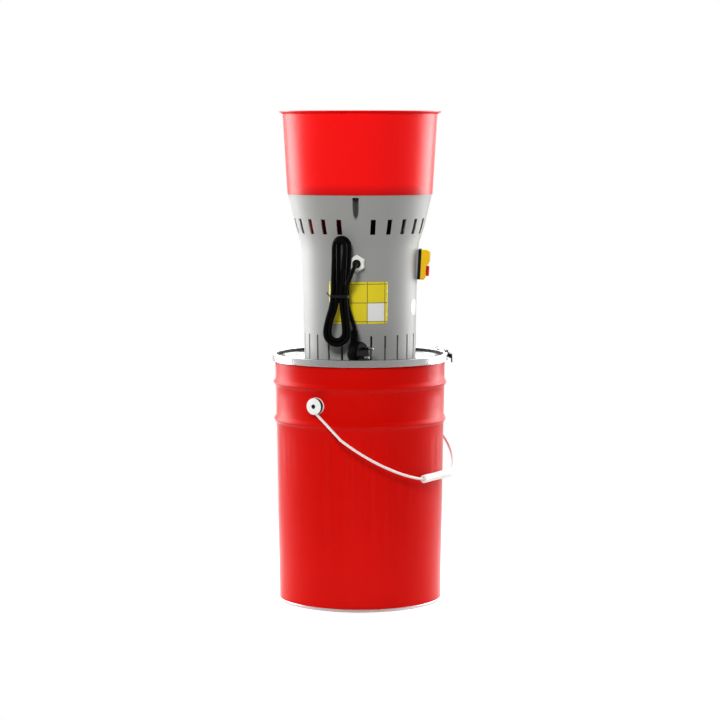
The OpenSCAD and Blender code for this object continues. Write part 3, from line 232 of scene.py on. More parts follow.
def fine_grain_group():
    """Height of a fine grain over a broad ripple, for orange peel, spark-eroded moulds and castings."""
    tree, enter, leave = shader_group(
        "fine_grain",
        [("Grain Scale", "NodeSocketFloat", 900.0), ("Ripple Scale", "NodeSocketFloat", 60.0),
         ("Ripple", "NodeSocketFloat", 0.3)],
        [("Height", "NodeSocketFloat")])
    grain = noise_on_object(tree)
    grain.inputs["Detail"].default_value = 2
    ripple = noise_on_object(tree)
    link = tree.links.new
    link(enter.outputs["Grain Scale"], grain.inputs["Scale"])
    link(enter.outputs["Ripple Scale"], ripple.inputs["Scale"])
    height = math_node(tree, "MULTIPLY_ADD", ripple.outputs["Fac"], enter.outputs["Ripple"],
                       grain.outputs["Fac"])
    link(height, leave.inputs["Height"])
    return tree


def rolling_marks_group():
    """Height of fine marks that run round the part, as on rolled and turned metal."""
    tree, enter, leave = shader_group(
        "rolling_marks", [("Scale", "NodeSocketFloat", 400.0)], [("Height", "NodeSocketFloat")])
    marks = noise_on_object(tree, (0.05, 0.05, 1))
    marks.inputs["Detail"].default_value = 4
    tree.links.new(enter.outputs["Scale"], marks.inputs["Scale"])
    tree.links.new(marks.outputs["Fac"], leave.inputs["Height"])
    return tree


PATCHY_TONE = patchy_tone_group()
FINE_GRAIN = fine_grain_group()
ROLLING_MARKS = rolling_marks_group()


# Materials

def group_node(tree, group, **values):
    node = tree.nodes.new("ShaderNodeGroup")
    node.node_tree = group
    for label, value in values.items():
        node.inputs[label.replace("_", " ")].default_value = value
    return node


def new_material(name):
    material = bpy.data.materials.new(name)
    material.use_nodes = True
    shader = material.node_tree.nodes["Principled BSDF"]
    return material, material.node_tree, shader


def toned(tree, shader, colour, roughness, tone=0.08, scale=8, gloss_change=0.1):
    """Feeds the shader a colour and a roughness that vary in patches."""
    patches = group_node(tree, PATCHY_TONE, Color=(*colour, 1), Scale=scale, Tone=tone,
                         Roughness=roughness, Roughness_Change=gloss_change)
    patches.name = "patches"
    tree.links.new(patches.outputs["Color"], shader.inputs["Base Color"])
    tree.links.new(patches.outputs["Roughness"], shader.inputs["Roughness"])


def bumped(tree, shader, height, depth_mm, strength=0.5):
    bump = tree.nodes.new("ShaderNodeBump")
    bump.inputs["Strength"].default_value = strength
    bump.inputs["Distance"].default_value = depth_mm * MM
    tree.links.new(height, bump.inputs["Height"])
    tree.links.new(bump.outputs["Normal"], shader.inputs["Normal"])


ENAMEL_HAZE_SPREAD = 0.24
PLASTIC_HAZE_SPREAD = 0.6


def glossed(shader, shine, haze, haze_spread):
    """Sets the strength of the gloss, and of the haze that shows where a surface is seen along itself."""
    shader.inputs["Specular IOR Level"].default_value = shine
    shader.inputs["Sheen Weight"].default_value = haze
    shader.inputs["Sheen Roughness"].default_value = haze_spread


def enamel(name, colour, roughness=0.3, shine=0.3, haze=0.0):
    """Stoved paint on sheet steel, with orange peel."""
    material, tree, shader = new_material(name)
    toned(tree, shader, colour, roughness, tone=0.10, scale=7, gloss_change=0.12)
    peel = group_node(tree, FINE_GRAIN, Grain_Scale=520, Ripple_Scale=28, Ripple=1.4)
    bumped(tree, shader, peel.outputs["Height"], 0.05, 0.35)
    glossed(shader, shine, haze, ENAMEL_HAZE_SPREAD)
    return material


def moulded(name, colour, roughness=0.42, grain=1100, depth_mm=0.05, tone=0.07, shine=0.4, haze=0.0):
    """Injection-moulded plastic with the fine texture of its mould."""
    material, tree, shader = new_material(name)
    toned(tree, shader, colour, roughness, tone=tone, scale=11, gloss_change=0.14)
    texture = group_node(tree, FINE_GRAIN, Grain_Scale=grain, Ripple_Scale=40, Ripple=0.5)
    bumped(tree, shader, texture.outputs["Height"], depth_mm, 0.4)
    glossed(shader, shine, haze, PLASTIC_HAZE_SPREAD)
    return material


def bare_metal(name, colour, roughness=0.3, marks=420, depth_mm=0.03):
    """Bare or plated metal with the marks of rolling or turning."""
    material, tree, shader = new_material(name)
    shader.inputs["Metallic"].default_value = 1.0
    lines = group_node(tree, ROLLING_MARKS, Scale=marks)
    toned(tree, shader, colour, roughness, tone=0.16, scale=22, gloss_change=0.22)
    bumped(tree, shader, lines.outputs["Height"], depth_mm, 0.35)
    return material


def rubbery(name, colour, roughness=0.55, shine=0.2, grain=1500):
    """Soft black rubber and flexible PVC, slightly bloomed."""
    material, tree, shader = new_material(name)
    toned(tree, shader, colour, roughness, tone=0.5, scale=30, gloss_change=0.2)
    texture = group_node(tree, FINE_GRAIN, Grain_Scale=grain, Ripple_Scale=120, Ripple=0.8)
    bumped(tree, shader, texture.outputs["Height"], 0.04, 0.3)
    shader.inputs["Specular IOR Level"].default_value = shine
    return material


def object_place(tree):
    """The place on the piece, and its height."""
    where = tree.nodes.new("ShaderNodeTexCoord")
    split = tree.nodes.new("ShaderNodeSeparateXYZ")
    tree.links.new(where.outputs["Object"], split.inputs["Vector"])
    return where.outputs["Object"], split.outputs["Z"]


def vector_node(tree, operation, vector, other):
    """A vector math node on a linked vector and a fixed one."""
    node = tree.nodes.new("ShaderNodeVectorMath")
    node.operation = operation
    tree.links.new(vector, node.inputs[0])
    node.inputs[1].default_value = other
    return node


def recoloured(material, share, first, second):
    """Mixes two colours over a material by a share that changes over its surface."""
    tree = material.node_tree
    tree.links.new(mixed(tree, share, first, second), tree.nodes["patches"].inputs["Color"])


# How dark the painted shade at a piece's foot is.
FOOT_SHADE = 0.62


def shaded_foot(material, colour, foot_mm, height_mm):
    """Darkens a material's colour towards the foot of its piece, as painted shade."""
    _, height = object_place(material.node_tree)
    unshaded = faded(material.node_tree, height, foot_mm * MM, (foot_mm + height_mm) * MM, 0.0, 1.0)
    recoloured(material, unshaded, tuple(FOOT_SHADE * c for c in colour), colour)


def shaded_ear_gaps(material, colour, across_mm, reach_mm):
    """Darkens what lies close round the ears' axis behind their caps: painted shade in the gap under each
    cap.
    """
    tree = material.node_tree
    place, _ = object_place(tree)
    from_ear = vector_node(tree, "SUBTRACT", place, (0, 0, EAR_Z * MM)).outputs["Vector"]
    along = vector_node(tree, "DOT_PRODUCT", from_ear, outward(EAR_AZ)).outputs["Value"]
    reach = math_node(tree, "ABSOLUTE", along)
    span = vector_node(tree, "LENGTH", from_ear, (0, 0, 0)).outputs["Value"]
    across = math_node(tree, "SUBTRACT", math_node(tree, "POWER", span, 2.0),
                       math_node(tree, "POWER", reach, 2.0))
    gap_shade = math_node(tree, "MULTIPLY", math_node(tree, "LESS_THAN", across, (across_mm * MM) ** 2),
                      math_node(tree, "LESS_THAN", reach, reach_mm * MM))
    recoloured(material, gap_shade, colour, PAINTED_SHADE)


# Where the painted shade in the casing's depths starts, and how dark it gets.
SHADE_FROM = 0.5
SHADE_FULL = 2.5
SHADE_SHARE = 0.96


def shaded_depth(material, colour):
    """Darkens the casing's inner faces and the depth of its slots and grooves: painted shade."""
    tree = material.node_tree
    place, height = object_place(tree)
    level = vector_node(tree, "MULTIPLY", place, (1, 1, 0)).outputs["Vector"]
    radius = vector_node(tree, "LENGTH", level, (0, 0, 0)).outputs["Value"]
    outer = CASING_OUTLINE[0][1] * MM
    slope = 0
    for (h0, r0), (h1, r1) in zip(CASING_OUTLINE, CASING_OUTLINE[1:]):
        above = math_node(tree, "MAXIMUM", math_node(tree, "SUBTRACT", height, (LID_Z + h0) * MM), 0.0)
        bend = (r1 - r0) / (h1 - h0) - slope
        outer = math_node(tree, "MULTIPLY_ADD", above, bend, outer)
        slope += bend
    depth = math_node(tree, "SUBTRACT", outer, radius)
    depth_shade = faded(tree, depth, SHADE_FROM * MM, SHADE_FULL * MM, 0.0, SHADE_SHARE)
    recoloured(material, depth_shade, colour, PAINTED_SHADE)


def fielded_panel(name, field, line, pale):
    """A plain printed panel by its UV map: three columns and two rows of fields, the last of them pale."""
    columns, rows, line_w, margin = 3, 2, 0.02, 0.06
    material, tree, shader = new_material(name)
    where = tree.nodes.new("ShaderNodeUVMap")
    where.uv_map = "panel"
    split = tree.nodes.new("ShaderNodeSeparateXYZ")
    tree.links.new(where.outputs["UV"], split.inputs["Vector"])
    lines, ends = [], []
    for axis, count, column in (("X", columns, columns - 1), ("Y", rows, 0)):
        inset = math_node(tree, "MULTIPLY_ADD", split.outputs[axis],
                          (1 + 2 * margin) * count, -margin * count)
        cell = math_node(tree, "PINGPONG", inset, 0.5)
        lines.append(math_node(tree, "LESS_THAN", cell, line_w))
        ends.append(math_node(tree, "COMPARE", inset, column + 0.5, 0.5))
    last = math_node(tree, "MULTIPLY", *ends)
    printed = mixed(tree, math_node(tree, "MAXIMUM", *lines), mixed(tree, last, field, pale), line)
    patches = group_node(tree, PATCHY_TONE, Scale=20, Tone=0.06, Roughness=0.35, Roughness_Change=0.1)
    tree.links.new(printed, patches.inputs["Color"])
    tree.links.new(patches.outputs["Color"], shader.inputs["Base Color"])
    tree.links.new(patches.outputs["Roughness"], shader.inputs["Roughness"])
    return material


# Near-black colour of the painted shade in the ears' gaps and the casing's slots and grooves.
PAINTED_SHADE = (0.012, 0.012, 0.012)
RED_ENAMEL = enamel("drum_red_enamel", (0.60, 0.003, 0.001), 0.32, 0.07, 0.85)
HOPPER_COLOUR = (0.94, 0.006, 0.006)
HOPPER_RED = moulded("hopper_red_plastic", HOPPER_COLOUR, 0.34, 900, 0.03, 0.05, 0.14)
# The hopper's foot gets painted shade where it meets the casing.
shaded_foot(HOPPER_RED, HOPPER_COLOUR, HOPPER_Z, 22)
CASING_COLOUR = (0.285, 0.289, 0.275)
CASING_GREY = moulded("casing_grey_plastic", CASING_COLOUR, 0.46, 1000, 0.06, 0.07, 0.25, 0.5)
# The casing's slots, grooves and inner faces get painted shade.
shaded_depth(CASING_GREY, CASING_COLOUR)
LID_METAL = bare_metal("lid_tinned_steel", (0.34, 0.36, 0.33), 0.26, 300)
RING_ZINC = bare_metal("ring_zinc", (0.80, 0.80, 0.79), 0.25, 500)
SEAM_STEEL = bare_metal("seam_steel", (0.70, 0.70, 0.70), 0.30, 600)
EAR_COLOUR = (0.88, 0.88, 0.86)
EAR_ZINC = enamel("ear_zinc", EAR_COLOUR, 0.34, 0.5)
# Painted shade in the gap between each ear's cap and flange.
shaded_ear_gaps(EAR_ZINC, EAR_COLOUR, EAR_FLANGE_R - 0.9, EAR_CAP_R)
SCREW_STEEL = bare_metal("screw_steel", (0.55, 0.55, 0.56), 0.32, 900)
# Black steel for painted shade: the hopper screws at the dark tops of the grooves, and the plugs in the ears'
# holes.
SHADE_BLACK_STEEL = bare_metal("screw_black", (0.03, 0.03, 0.03), 0.40, 900)
PIN_NICKEL = bare_metal("pin_nickel", (0.42, 0.42, 0.43), 0.34, 800)
MILL_STEEL = bare_metal("mill_steel", (0.60, 0.60, 0.61), 0.26, 350)
MOTOR_ALLOY = bare_metal("motor_alloy", (0.22, 0.22, 0.23), 0.48, 200, 0.12)
CORE_STEEL = bare_metal("core_steel", (0.20, 0.20, 0.21), 0.45, 1400, 0.2)
COPPER = bare_metal("winding_copper", (0.70, 0.30, 0.14), 0.38, 1600, 0.25)
WIRE_COLOUR = (0.78, 0.78, 0.76)
WIRE_WHITE = enamel("bail_white_coat", WIRE_COLOUR, 0.35)
# The bail wire's eyes get painted shade where they lie in the ears' gaps.
shaded_ear_gaps(WIRE_WHITE, WIRE_COLOUR, EYE_R, DRUM_H)
WHITE_PLASTIC = moulded("white_plastic", (0.82, 0.81, 0.78), 0.40, 1200, 0.03, 0.04)
BLACK_PLASTIC = moulded("black_plastic", (0.008, 0.008, 0.009), 0.36, 900, 0.06, 0.3, 0.25)
YELLOW_PLASTIC = moulded("switch_yellow", (0.86, 0.51, 0.006), 0.36, 800, 0.03, 0.06)
GREEN_PLASTIC = moulded("start_green", (0.010, 0.27, 0.06), 0.34, 900, 0.03, 0.08)
STOP_RED = moulded("stop_red", (0.66, 0.012, 0.010), 0.34, 900, 0.03, 0.08, 0.25)
CORD_BLACK = rubbery("cord_black", (0.003, 0.003, 0.003), 0.42, 0.045)
PLUG_BLACK = rubbery("plug_black", (0.002, 0.002, 0.002), 0.5, 0.04)
SEAL_RUBBER = rubbery("seal_rubber", (0.008, 0.008, 0.008), 0.62)
PANEL_YELLOW = fielded_panel("panel_yellow", (0.76, 0.62, 0.014), (0.20, 0.15, 0.02), (0.78, 0.78, 0.76))
DISC_PALE = moulded("disc_pale", (0.64, 0.67, 0.67), 0.30, 1500, 0.01, 0.05)


# Piece helpers

def add_object(name, data):
    piece = bpy.data.objects.new(name, data)
    scene.collection.objects.link(piece)
    return piece


def shade(mesh, degrees=32):
    mesh.shade_smooth()
    mesh.set_sharp_from_angle(angle=math.radians(degrees))


def dress(piece, body, material, *stands_for):
    """Gives a piece its material and its body, and hides the solids that it stands for."""
    piece.data.materials.clear()
    piece.data.materials.append(material)
    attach(piece, body)
    if stands_for:
        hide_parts(*stands_for)
    return piece


WELD = 2e-6
FLAT = math.radians(0.4)


def rounded_edges(piece, edge_mm, segments=2):
    bevel = piece.modifiers.new("rounded_edges", "BEVEL")
    bevel.width = edge_mm * MM
    bevel.segments = segments
    bevel.limit_method = "ANGLE"
    bevel.angle_limit = math.radians(38)
    bevel.harden_normals = True


def rounded_copy(node, body, material, edge_mm, segments=2):
    """A copy of a solid, with its triangles joined into faces and its sharp edges broken."""
    shell = bmesh.new()
    shell.from_mesh(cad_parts[node].data)
    bmesh.ops.remove_doubles(shell, verts=shell.verts, dist=WELD)
    bmesh.ops.dissolve_limit(shell, angle_limit=FLAT, verts=shell.verts, edges=shell.edges)
    mesh = bpy.data.meshes.new(node + "_finished")
    shell.to_mesh(mesh)
    shell.free()
    if "custom_normal" in mesh.attributes:
        mesh.attributes.remove(mesh.attributes["custom_normal"])
    shade(mesh)
    piece = add_object(node + "_finished", mesh)
    rounded_edges(piece, edge_mm, segments)
    return dress(piece, body, material, node)


def mesh_from(name, verts_mm, faces):
    mesh = bpy.data.meshes.new(name)
    mesh.from_pydata([Vector(v) * MM for v in verts_mm], [], faces)
    shell = bmesh.new()
    shell.from_mesh(mesh)
    bmesh.ops.remove_doubles(shell, verts=shell.verts, dist=WELD)
    bmesh.ops.recalc_face_normals(shell, faces=shell.faces)
    shell.to_mesh(mesh)
    shell.free()
    shade(mesh)
    return mesh


def lathe(name, profile, steps=128):
    """A closed outline of (radius, height) turned round +Z."""
    n = len(profile)
    verts = [outward(360 * i / steps) * r + Vector((0, 0, z)) for i in range(steps) for r, z in profile]
    faces = [(i * n + j, i * n + (j + 1) % n, (i + 1) % steps * n + (j + 1) % n, (i + 1) % steps * n + j)
             for i in range(steps) for j in range(n)]
    return mesh_from(name, verts, faces)


def wall_patch(name, rows, radius_at, thickness_mm):
    """A thin patch on a round wall: rows of (height, first azimuth, last azimuth), with a UV map."""
    columns = 40
    verts, uvs = [], []
    for z, a0, a1 in rows:
        for i in range(columns + 1):
            a = a0 + (a1 - a0) * i / columns
            verts.append(outward(a) * radius_at(z) + Vector((0, 0, z)))
            uvs.append((a, z))
    faces = [(r * (columns + 1) + i, r * (columns + 1) + i + 1, (r + 1) * (columns + 1) + i + 1,
              (r + 1) * (columns + 1) + i) for r in range(len(rows) - 1) for i in range(columns)]
    mesh = bpy.data.meshes.new(name)
    mesh.from_pydata([v * MM for v in verts], [], faces)
    lows = [min(uv[k] for uv in uvs) for k in (0, 1)]
    spans = [max(uv[k] for uv in uvs) - lows[k] for k in (0, 1)]
    layer = mesh.uv_layers.new(name="panel")
    for loop in mesh.loops:
        uv = uvs[loop.vertex_index]
        layer.data[loop.index].uv = [(uv[k] - lows[k]) / spans[k] for k in (0, 1)]
    shade(mesh)
    piece = add_object(name, mesh)
    skin = piece.modifiers.new("film", "SOLIDIFY")
    skin.thickness = thickness_mm * MM
    skin.offset = 1
    return piece


# Geometry node trees for what repeats

def node_tree(name, inputs):
    tree = bpy.data.node_groups.new(name, "GeometryNodeTree")
    tree.interface.new_socket("Geometry", in_out="INPUT", socket_type="NodeSocketGeometry")
    for label, kind in inputs:
        tree.interface.new_socket(label, in_out="INPUT", socket_type=kind)
    tree.interface.new_socket("Geometry", in_out="OUTPUT", socket_type="NodeSocketGeometry")
    return tree, tree.nodes.new("NodeGroupInput"), tree.nodes.new("NodeGroupOutput")


def close_tree(tree, enter, leave, instances):
    """Ends a tree with real faces in the given material."""
    real = tree.nodes.new("GeometryNodeRealizeInstances")
    paint = tree.nodes.new("GeometryNodeSetMaterial")
    tree.links.new(instances, real.inputs["Geometry"])
    tree.links.new(real.outputs["Geometry"], paint.inputs["Geometry"])
    tree.links.new(enter.outputs["Material"], paint.inputs["Material"])
    tree.links.new(paint.outputs["Geometry"], leave.inputs["Geometry"])


def ribs_tree():
    """Ribs set round the Z axis, each a bar along Z that faces outward."""
    tree, enter, leave = node_tree("ribs_round_axis", [
        ("Count", "NodeSocketInt"), ("Radius", "NodeSocketFloat"), ("Rib Size", "NodeSocketVector"),
        ("Material", "NodeSocketMaterial")])
    ring = tree.nodes.new("GeometryNodeMeshCircle")
    rib = tree.nodes.new("GeometryNodeMeshCube")
    where = tree.nodes.new("GeometryNodeInputPosition")
    turn = tree.nodes.new("FunctionNodeAlignRotationToVector")
    turn.axis = "X"
    turn.pivot_axis = "Z"
    spread = tree.nodes.new("GeometryNodeInstanceOnPoints")
    link = tree.links.new
    link(enter.outputs["Count"], ring.inputs["Vertices"])
    link(enter.outputs["Radius"], ring.inputs["Radius"])
    link(enter.outputs["Rib Size"], rib.inputs["Size"])
    link(where.outputs["Position"], turn.inputs["Vector"])
    link(ring.outputs["Mesh"], spread.inputs["Points"])
    link(rib.outputs["Mesh"], spread.inputs["Instance"])
    link(turn.outputs["Rotation"], spread.inputs["Rotation"])
    close_tree(tree, enter, leave, spread.outputs["Instances"])
    return tree


def rings_tree():
    """Rings stacked along Z that shrink evenly from the first to the last."""
    tree, enter, leave = node_tree("shrinking_rings", [
        ("Count", "NodeSocketInt"), ("Pitch", "NodeSocketFloat"), ("Radius", "NodeSocketFloat"),
        ("Height", "NodeSocketFloat"), ("Shrink", "NodeSocketFloat"), ("Material", "NodeSocketMaterial")])
    line = tree.nodes.new("GeometryNodeMeshLine")
    step = tree.nodes.new("ShaderNodeCombineXYZ")
    ring = tree.nodes.new("GeometryNodeMeshCylinder")
    ring.inputs["Vertices"].default_value = 40
    index = tree.nodes.new("GeometryNodeInputIndex")
    size = tree.nodes.new("ShaderNodeMath")
    size.operation = "MULTIPLY_ADD"
    size.inputs[2].default_value = 1.0
    girth = tree.nodes.new("ShaderNodeCombineXYZ")
    girth.inputs["Z"].default_value = 1.0
    spread = tree.nodes.new("GeometryNodeInstanceOnPoints")
    link = tree.links.new
    link(enter.outputs["Pitch"], step.inputs["Z"])
    link(enter.outputs["Count"], line.inputs["Count"])
    link(step.outputs["Vector"], line.inputs["Offset"])
    link(enter.outputs["Radius"], ring.inputs["Radius"])
    link(enter.outputs["Height"], ring.inputs["Depth"])
    link(index.outputs["Index"], size.inputs[0])
    link(enter.outputs["Shrink"], size.inputs[1])
    link(size.outputs[0], girth.inputs["X"])
    link(size.outputs[0], girth.inputs["Y"])
    link(line.outputs["Mesh"], spread.inputs["Points"])
    link(ring.outputs["Mesh"], spread.inputs["Instance"])
    link(girth.outputs["Vector"], spread.inputs["Scale"])
    close_tree(tree, enter, leave, spread.outputs["Instances"])
    return tree


def crosses_tree():
    """Cross recesses of screw heads: two bars at each point of the mesh that the tree is on."""
    tree, enter, leave = node_tree("screw_crosses", [
        ("Length", "NodeSocketFloat"), ("Width", "NodeSocketFloat"), ("Depth", "NodeSocketFloat"),
        ("Material", "NodeSocketMaterial")])
    both = tree.nodes.new("GeometryNodeJoinGeometry")
    link = tree.links.new
    for along, across in (("X", "Y"), ("Y", "X")):
        size = tree.nodes.new("ShaderNodeCombineXYZ")
        bar = tree.nodes.new("GeometryNodeMeshCube")
        link(enter.outputs["Length"], size.inputs[along])
        link(enter.outputs["Width"], size.inputs[across])
        link(enter.outputs["Depth"], size.inputs["Z"])
        link(size.outputs["Vector"], bar.inputs["Size"])
        link(bar.outputs["Mesh"], both.inputs["Geometry"])
    spread = tree.nodes.new("GeometryNodeInstanceOnPoints")
    link(enter.outputs["Geometry"], spread.inputs["Points"])
    link(both.outputs["Geometry"], spread.inputs["Instance"])
    close_tree(tree, enter, leave, spread.outputs["Instances"])
    return tree


RIBS = ribs_tree()
RINGS = rings_tree()
CROSSES = crosses_tree()


def grown(name, tree, body, material, place, points=(), edge_mm=0.0, **values):
    """Runs a tree, keeps its result as a plain mesh at its place, and rides it on a body."""
    seed = bpy.data.meshes.new(name)
    seed.from_pydata([Vector(p) * MM for p in points], [], [])
    piece = add_object(name, seed)
    growth = piece.modifiers.new("growth", "NODES")
    growth.node_group = tree
    values["Material"] = material
    for socket in tree.interface.items_tree:
        label = socket.name.replace(" ", "_")
        if socket.in_out == "INPUT" and label in values:
            growth[socket.identifier] = values[label]
    shown = piece.evaluated_get(bpy.context.evaluated_depsgraph_get())
    mesh = bpy.data.meshes.new_from_object(shown)
    piece.modifiers.clear()
    mesh.transform(place)
    shade(mesh)
    piece.data = mesh
    if edge_mm:
        rounded_edges(piece, edge_mm)
    return dress(piece, body, material)


# Cord: from the gland round the hank to the plug, on the route of the solids

HANK_AZ = -19
HANK_BACK = 119.3
HANK_LAYER = 8.3
HANK_STEP = 8.6
HANK_LOOPS = 3
HANK_LOW_Z = 492.5
HANK_WAIST_Z = 556
HANK_TOP_Z = 644
HANK_LOW_W = 24
HANK_WAIST_W = 14.4
HANK_TOP_W = 16.4
HANK_WAIST_X = 3
HANK_TOP_X = 6.5
FOLD_STEPS = 6
RUN_STEPS = 3
RUN_SHARE = 0.15
FOLD_SHARE = 0.2


def hank_point(across, out, z):
    a = math.radians(HANK_AZ)
    side = Vector((math.cos(a), math.sin(a), 0))
    return side * across + outward(HANK_AZ) * out + Vector((0, 0, z))


def ease(t):
    return t * t * (3 - 2 * t)


def mix(a, b, t):
    return a + (b - a) * t


def drawn_in(n):
    return HANK_STEP * min(n, HANK_LOOPS - n)


def layer(n):
    return HANK_BACK + HANK_LAYER * (1 - ease(max(0, min(1, (n - HANK_LOOPS / 2) * 4 + 0.5))))


def run_at(n, side, t, low):
    """A point on a run from the waist to a fold."""
    width, centre, z = (HANK_LOW_W, 0, HANK_LOW_Z) if low else (HANK_TOP_W, HANK_TOP_X, HANK_TOP_Z)
    waist = HANK_WAIST_X + side * (HANK_WAIST_W - drawn_in(n))
    fold = centre + side * (width - drawn_in(n))
    return mix(waist, fold, ease(t)), layer(n), mix(HANK_WAIST_Z, z, t)


def fold_at(n, degrees, low):
    width, centre, z = (HANK_LOW_W, 0, HANK_LOW_Z) if low else (HANK_TOP_W, HANK_TOP_X, HANK_TOP_Z)
    a = math.radians(degrees)
    r = width - drawn_in(n)
    return centre + r * math.cos(a), layer(n), z + r * math.sin(a)


def hank_turn(k):
    """One turn: down the right, round the low fold, up the left, round the top fold, down the right."""
    runs = [i / RUN_STEPS for i in range(RUN_STEPS)]
    folds = [i / FOLD_STEPS for i in range(FOLD_STEPS)]
    half = k + 0.5
    last = 1 - RUN_SHARE
    return ([run_at(k + RUN_SHARE * t, 1, t, True) for t in runs]
            + [fold_at(k + RUN_SHARE + FOLD_SHARE * t, -180 * t, True) for t in folds]
            + [run_at(half - RUN_SHARE + RUN_SHARE * t, -1, 1 - t, True) for t in runs]
            + [run_at(half + RUN_SHARE * t, -1, t, False) for t in runs]
            + [fold_at(half + RUN_SHARE + FOLD_SHARE * t, 180 - 180 * t, False) for t in folds]
            + [run_at(k + last + RUN_SHARE * t, 1, 1 - t, False) for t in runs])


gland_turn = math.radians(CASING_TURN + GLAND_AZ - HANK_AZ)
gland_face_r = interpolate(CASING_OUTLINE, GLAND_H + GLAND_AF / 2) + HAIR
gland_z = LID_Z + GLAND_H
mouth_r = gland_face_r + GLAND_FLANGE_T + GLAND_SEAT
mouth = (mouth_r * math.sin(gland_turn), mouth_r * math.cos(gland_turn), gland_z)
hank_start = run_at(0, 1, 0, True)
hank_end = run_at(HANK_LOOPS, 1, 0, True)
lead = [mouth, (mouth[0] + 2.2, mouth[1] + 7.7, gland_z), (34.6, 123.5, 611.5), (34.6, 129.5, 608.5),
        (33, 133.5, 602), (30, 134.5, 594.5), (26.5, 133.5, 587), (22.8, 131, 579.5), (19.3, 128.7, 571.5),
        (hank_start[0], hank_start[1], hank_start[2] + CORD_D)]
tail = [hank_end, (hank_end[0], hank_end[1], hank_end[2] - CORD_D), (17.8, 119.2, 543), (19.2, 118.7, 536),
        (21.5, 118.2, 527.5), (24.2, 117.8, 519), (27.2, 117.4, 511), (29.5, 117.1, 503.5)]
route = [hank_point(*p) for p in lead + sum((hank_turn(k) for k in range(HANK_LOOPS)), []) + tail]
route.append(Vector((*RELIEF_AT, RELIEF_TOP_Z)))


def smooth_route(points, steps=5):
    """Close points on a smooth curve through the points, with no overshoot where their spacing changes."""
    ends = [points[0] * 2 - points[1]] + points + [points[-1] * 2 - points[-2]]
    out = []
    for a, b, c, d in zip(ends, ends[1:], ends[2:], ends[3:]):
        ab, bc, cd = (math.sqrt((q - p).length) for p, q in ((a, b), (b, c), (c, d)))
        leave = (b - a) / ab - (c - a) / (ab + bc) + (c - b) / bc
        arrive = (c - b) / bc - (d - b) / (bc + cd) + (d - c) / cd
        for i in range(steps):
            t = i / steps
            out.append(b * (2 * t ** 3 - 3 * t ** 2 + 1) + leave * bc * (t ** 3 - 2 * t ** 2 + t)
                       + c * (3 * t ** 2 - 2 * t ** 3) + arrive * bc * (t ** 3 - t ** 2))
    return out + [points[-1]]


cord_points = smooth_route(route)
cord_curve = bpy.data.curves.new("mains_cord", "CURVE")
cord_curve.dimensions = "3D"
cord_curve.bevel_depth = CORD_D / 2 * MM
cord_curve.bevel_resolution = 4
cord_curve.use_fill_caps = True
cord_line = cord_curve.splines.new("POLY")
cord_line.points.add(len(cord_points) - 1)
for spot, p in zip(cord_line.points, cord_points):
    spot.co = (*(p * MM), 1)
cord_line.use_smooth = True
mains_cord = dress(add_object("mains_cord", cord_curve), "head", CORD_BLACK,
                   "cord_lead", "cord_hank", "cord_tail")


# Drum and bail

rounded_copy("drum_shell", "drum", RED_ENAMEL, 0.3)
rounded_copy("drum_bottom", "drum", SEAM_STEEL, 0.8, 3)
rounded_copy("bail_ears", "drum", EAR_ZINC, 0.8, 3)
rounded_copy("bail_wire", "bail", WIRE_WHITE, 0.1, 1)
rounded_copy("bail_grip", "grip", WHITE_PLASTIC, 1.8, 4)


# Black plugs with a dark lip fill the ears' holes: painted shade standing in for the depth of each hole.
HOLE_SHADE_R = 2.4
HOLE_SHADE_LIP_R = 3.9
HOLE_SHADE_LIP_H = 0.4
HOLE_SHADE_HOLLOW_R = 1.8
hole_shade_hollow_z = EAR_FACE_R - EAR_FLOOR_R - 1.5
hole_shade_lip_z = EAR_FACE_R - EAR_FLOOR_R + HAIR
hole_shade_outline = [
    (0, 0), (HOLE_SHADE_R, 0), (HOLE_SHADE_R, hole_shade_lip_z), (HOLE_SHADE_LIP_R, hole_shade_lip_z),
    (HOLE_SHADE_LIP_R - 0.2, hole_shade_lip_z + 0.3), (HOLE_SHADE_LIP_R - 1, hole_shade_lip_z + HOLE_SHADE_LIP_H),
    (HOLE_SHADE_HOLLOW_R + 0.1, hole_shade_lip_z), (HOLE_SHADE_HOLLOW_R, hole_shade_hollow_z), (0, hole_shade_hollow_z)]
for number, azimuth in enumerate((EAR_AZ, EAR_AZ + 180)):
    hole_shade = lathe(f"ear_rivet_{number}", hole_shade_outline, 48)
    hole_shade.transform(facing(azimuth, EAR_FLOOR_R, EAR_Z))
    dress(add_object(f"ear_rivet_{number}", hole_shade), "drum", SHADE_BLACK_STEEL)


SEAM_ZS = {8, 100, 200, 300, 362, 430}
SEAM_HALF_AZ = 1.3
SEAM_T = 0.5


def drum_seam():
    """The lap weld down the drum's back."""
    over_hoops = {z + i * HOOP_H / 16 for z in HOOP_ZS for i in range(-8, 9)}
    rows = [(z, 180 - SEAM_HALF_AZ, 180 + SEAM_HALF_AZ) for z in sorted(over_hoops | SEAM_ZS)]
    return wall_patch("drum_seam", rows, lambda z: drum_r(z) + HAIR, SEAM_T)


dress(drum_seam(), "drum", RED_ENAMEL)


# Lid, ring and latch

rounded_copy("lid", "head", LID_METAL, 0.4)
rounded_copy("closing_ring", "head", RING_ZINC, 0.45, 3)
rounded_copy("ring_lugs", "head", RING_ZINC, 0.3)
rounded_copy("latch_pins", "head", SCREW_STEEL, 0.5)
rounded_copy("latch_lever", "lever", BLACK_PLASTIC, 0.6, 3)
rounded_copy("lever_pin", "lever", SCREW_STEEL, 0.4)
rounded_copy("latch_link", "link", RING_ZINC, 0.35)


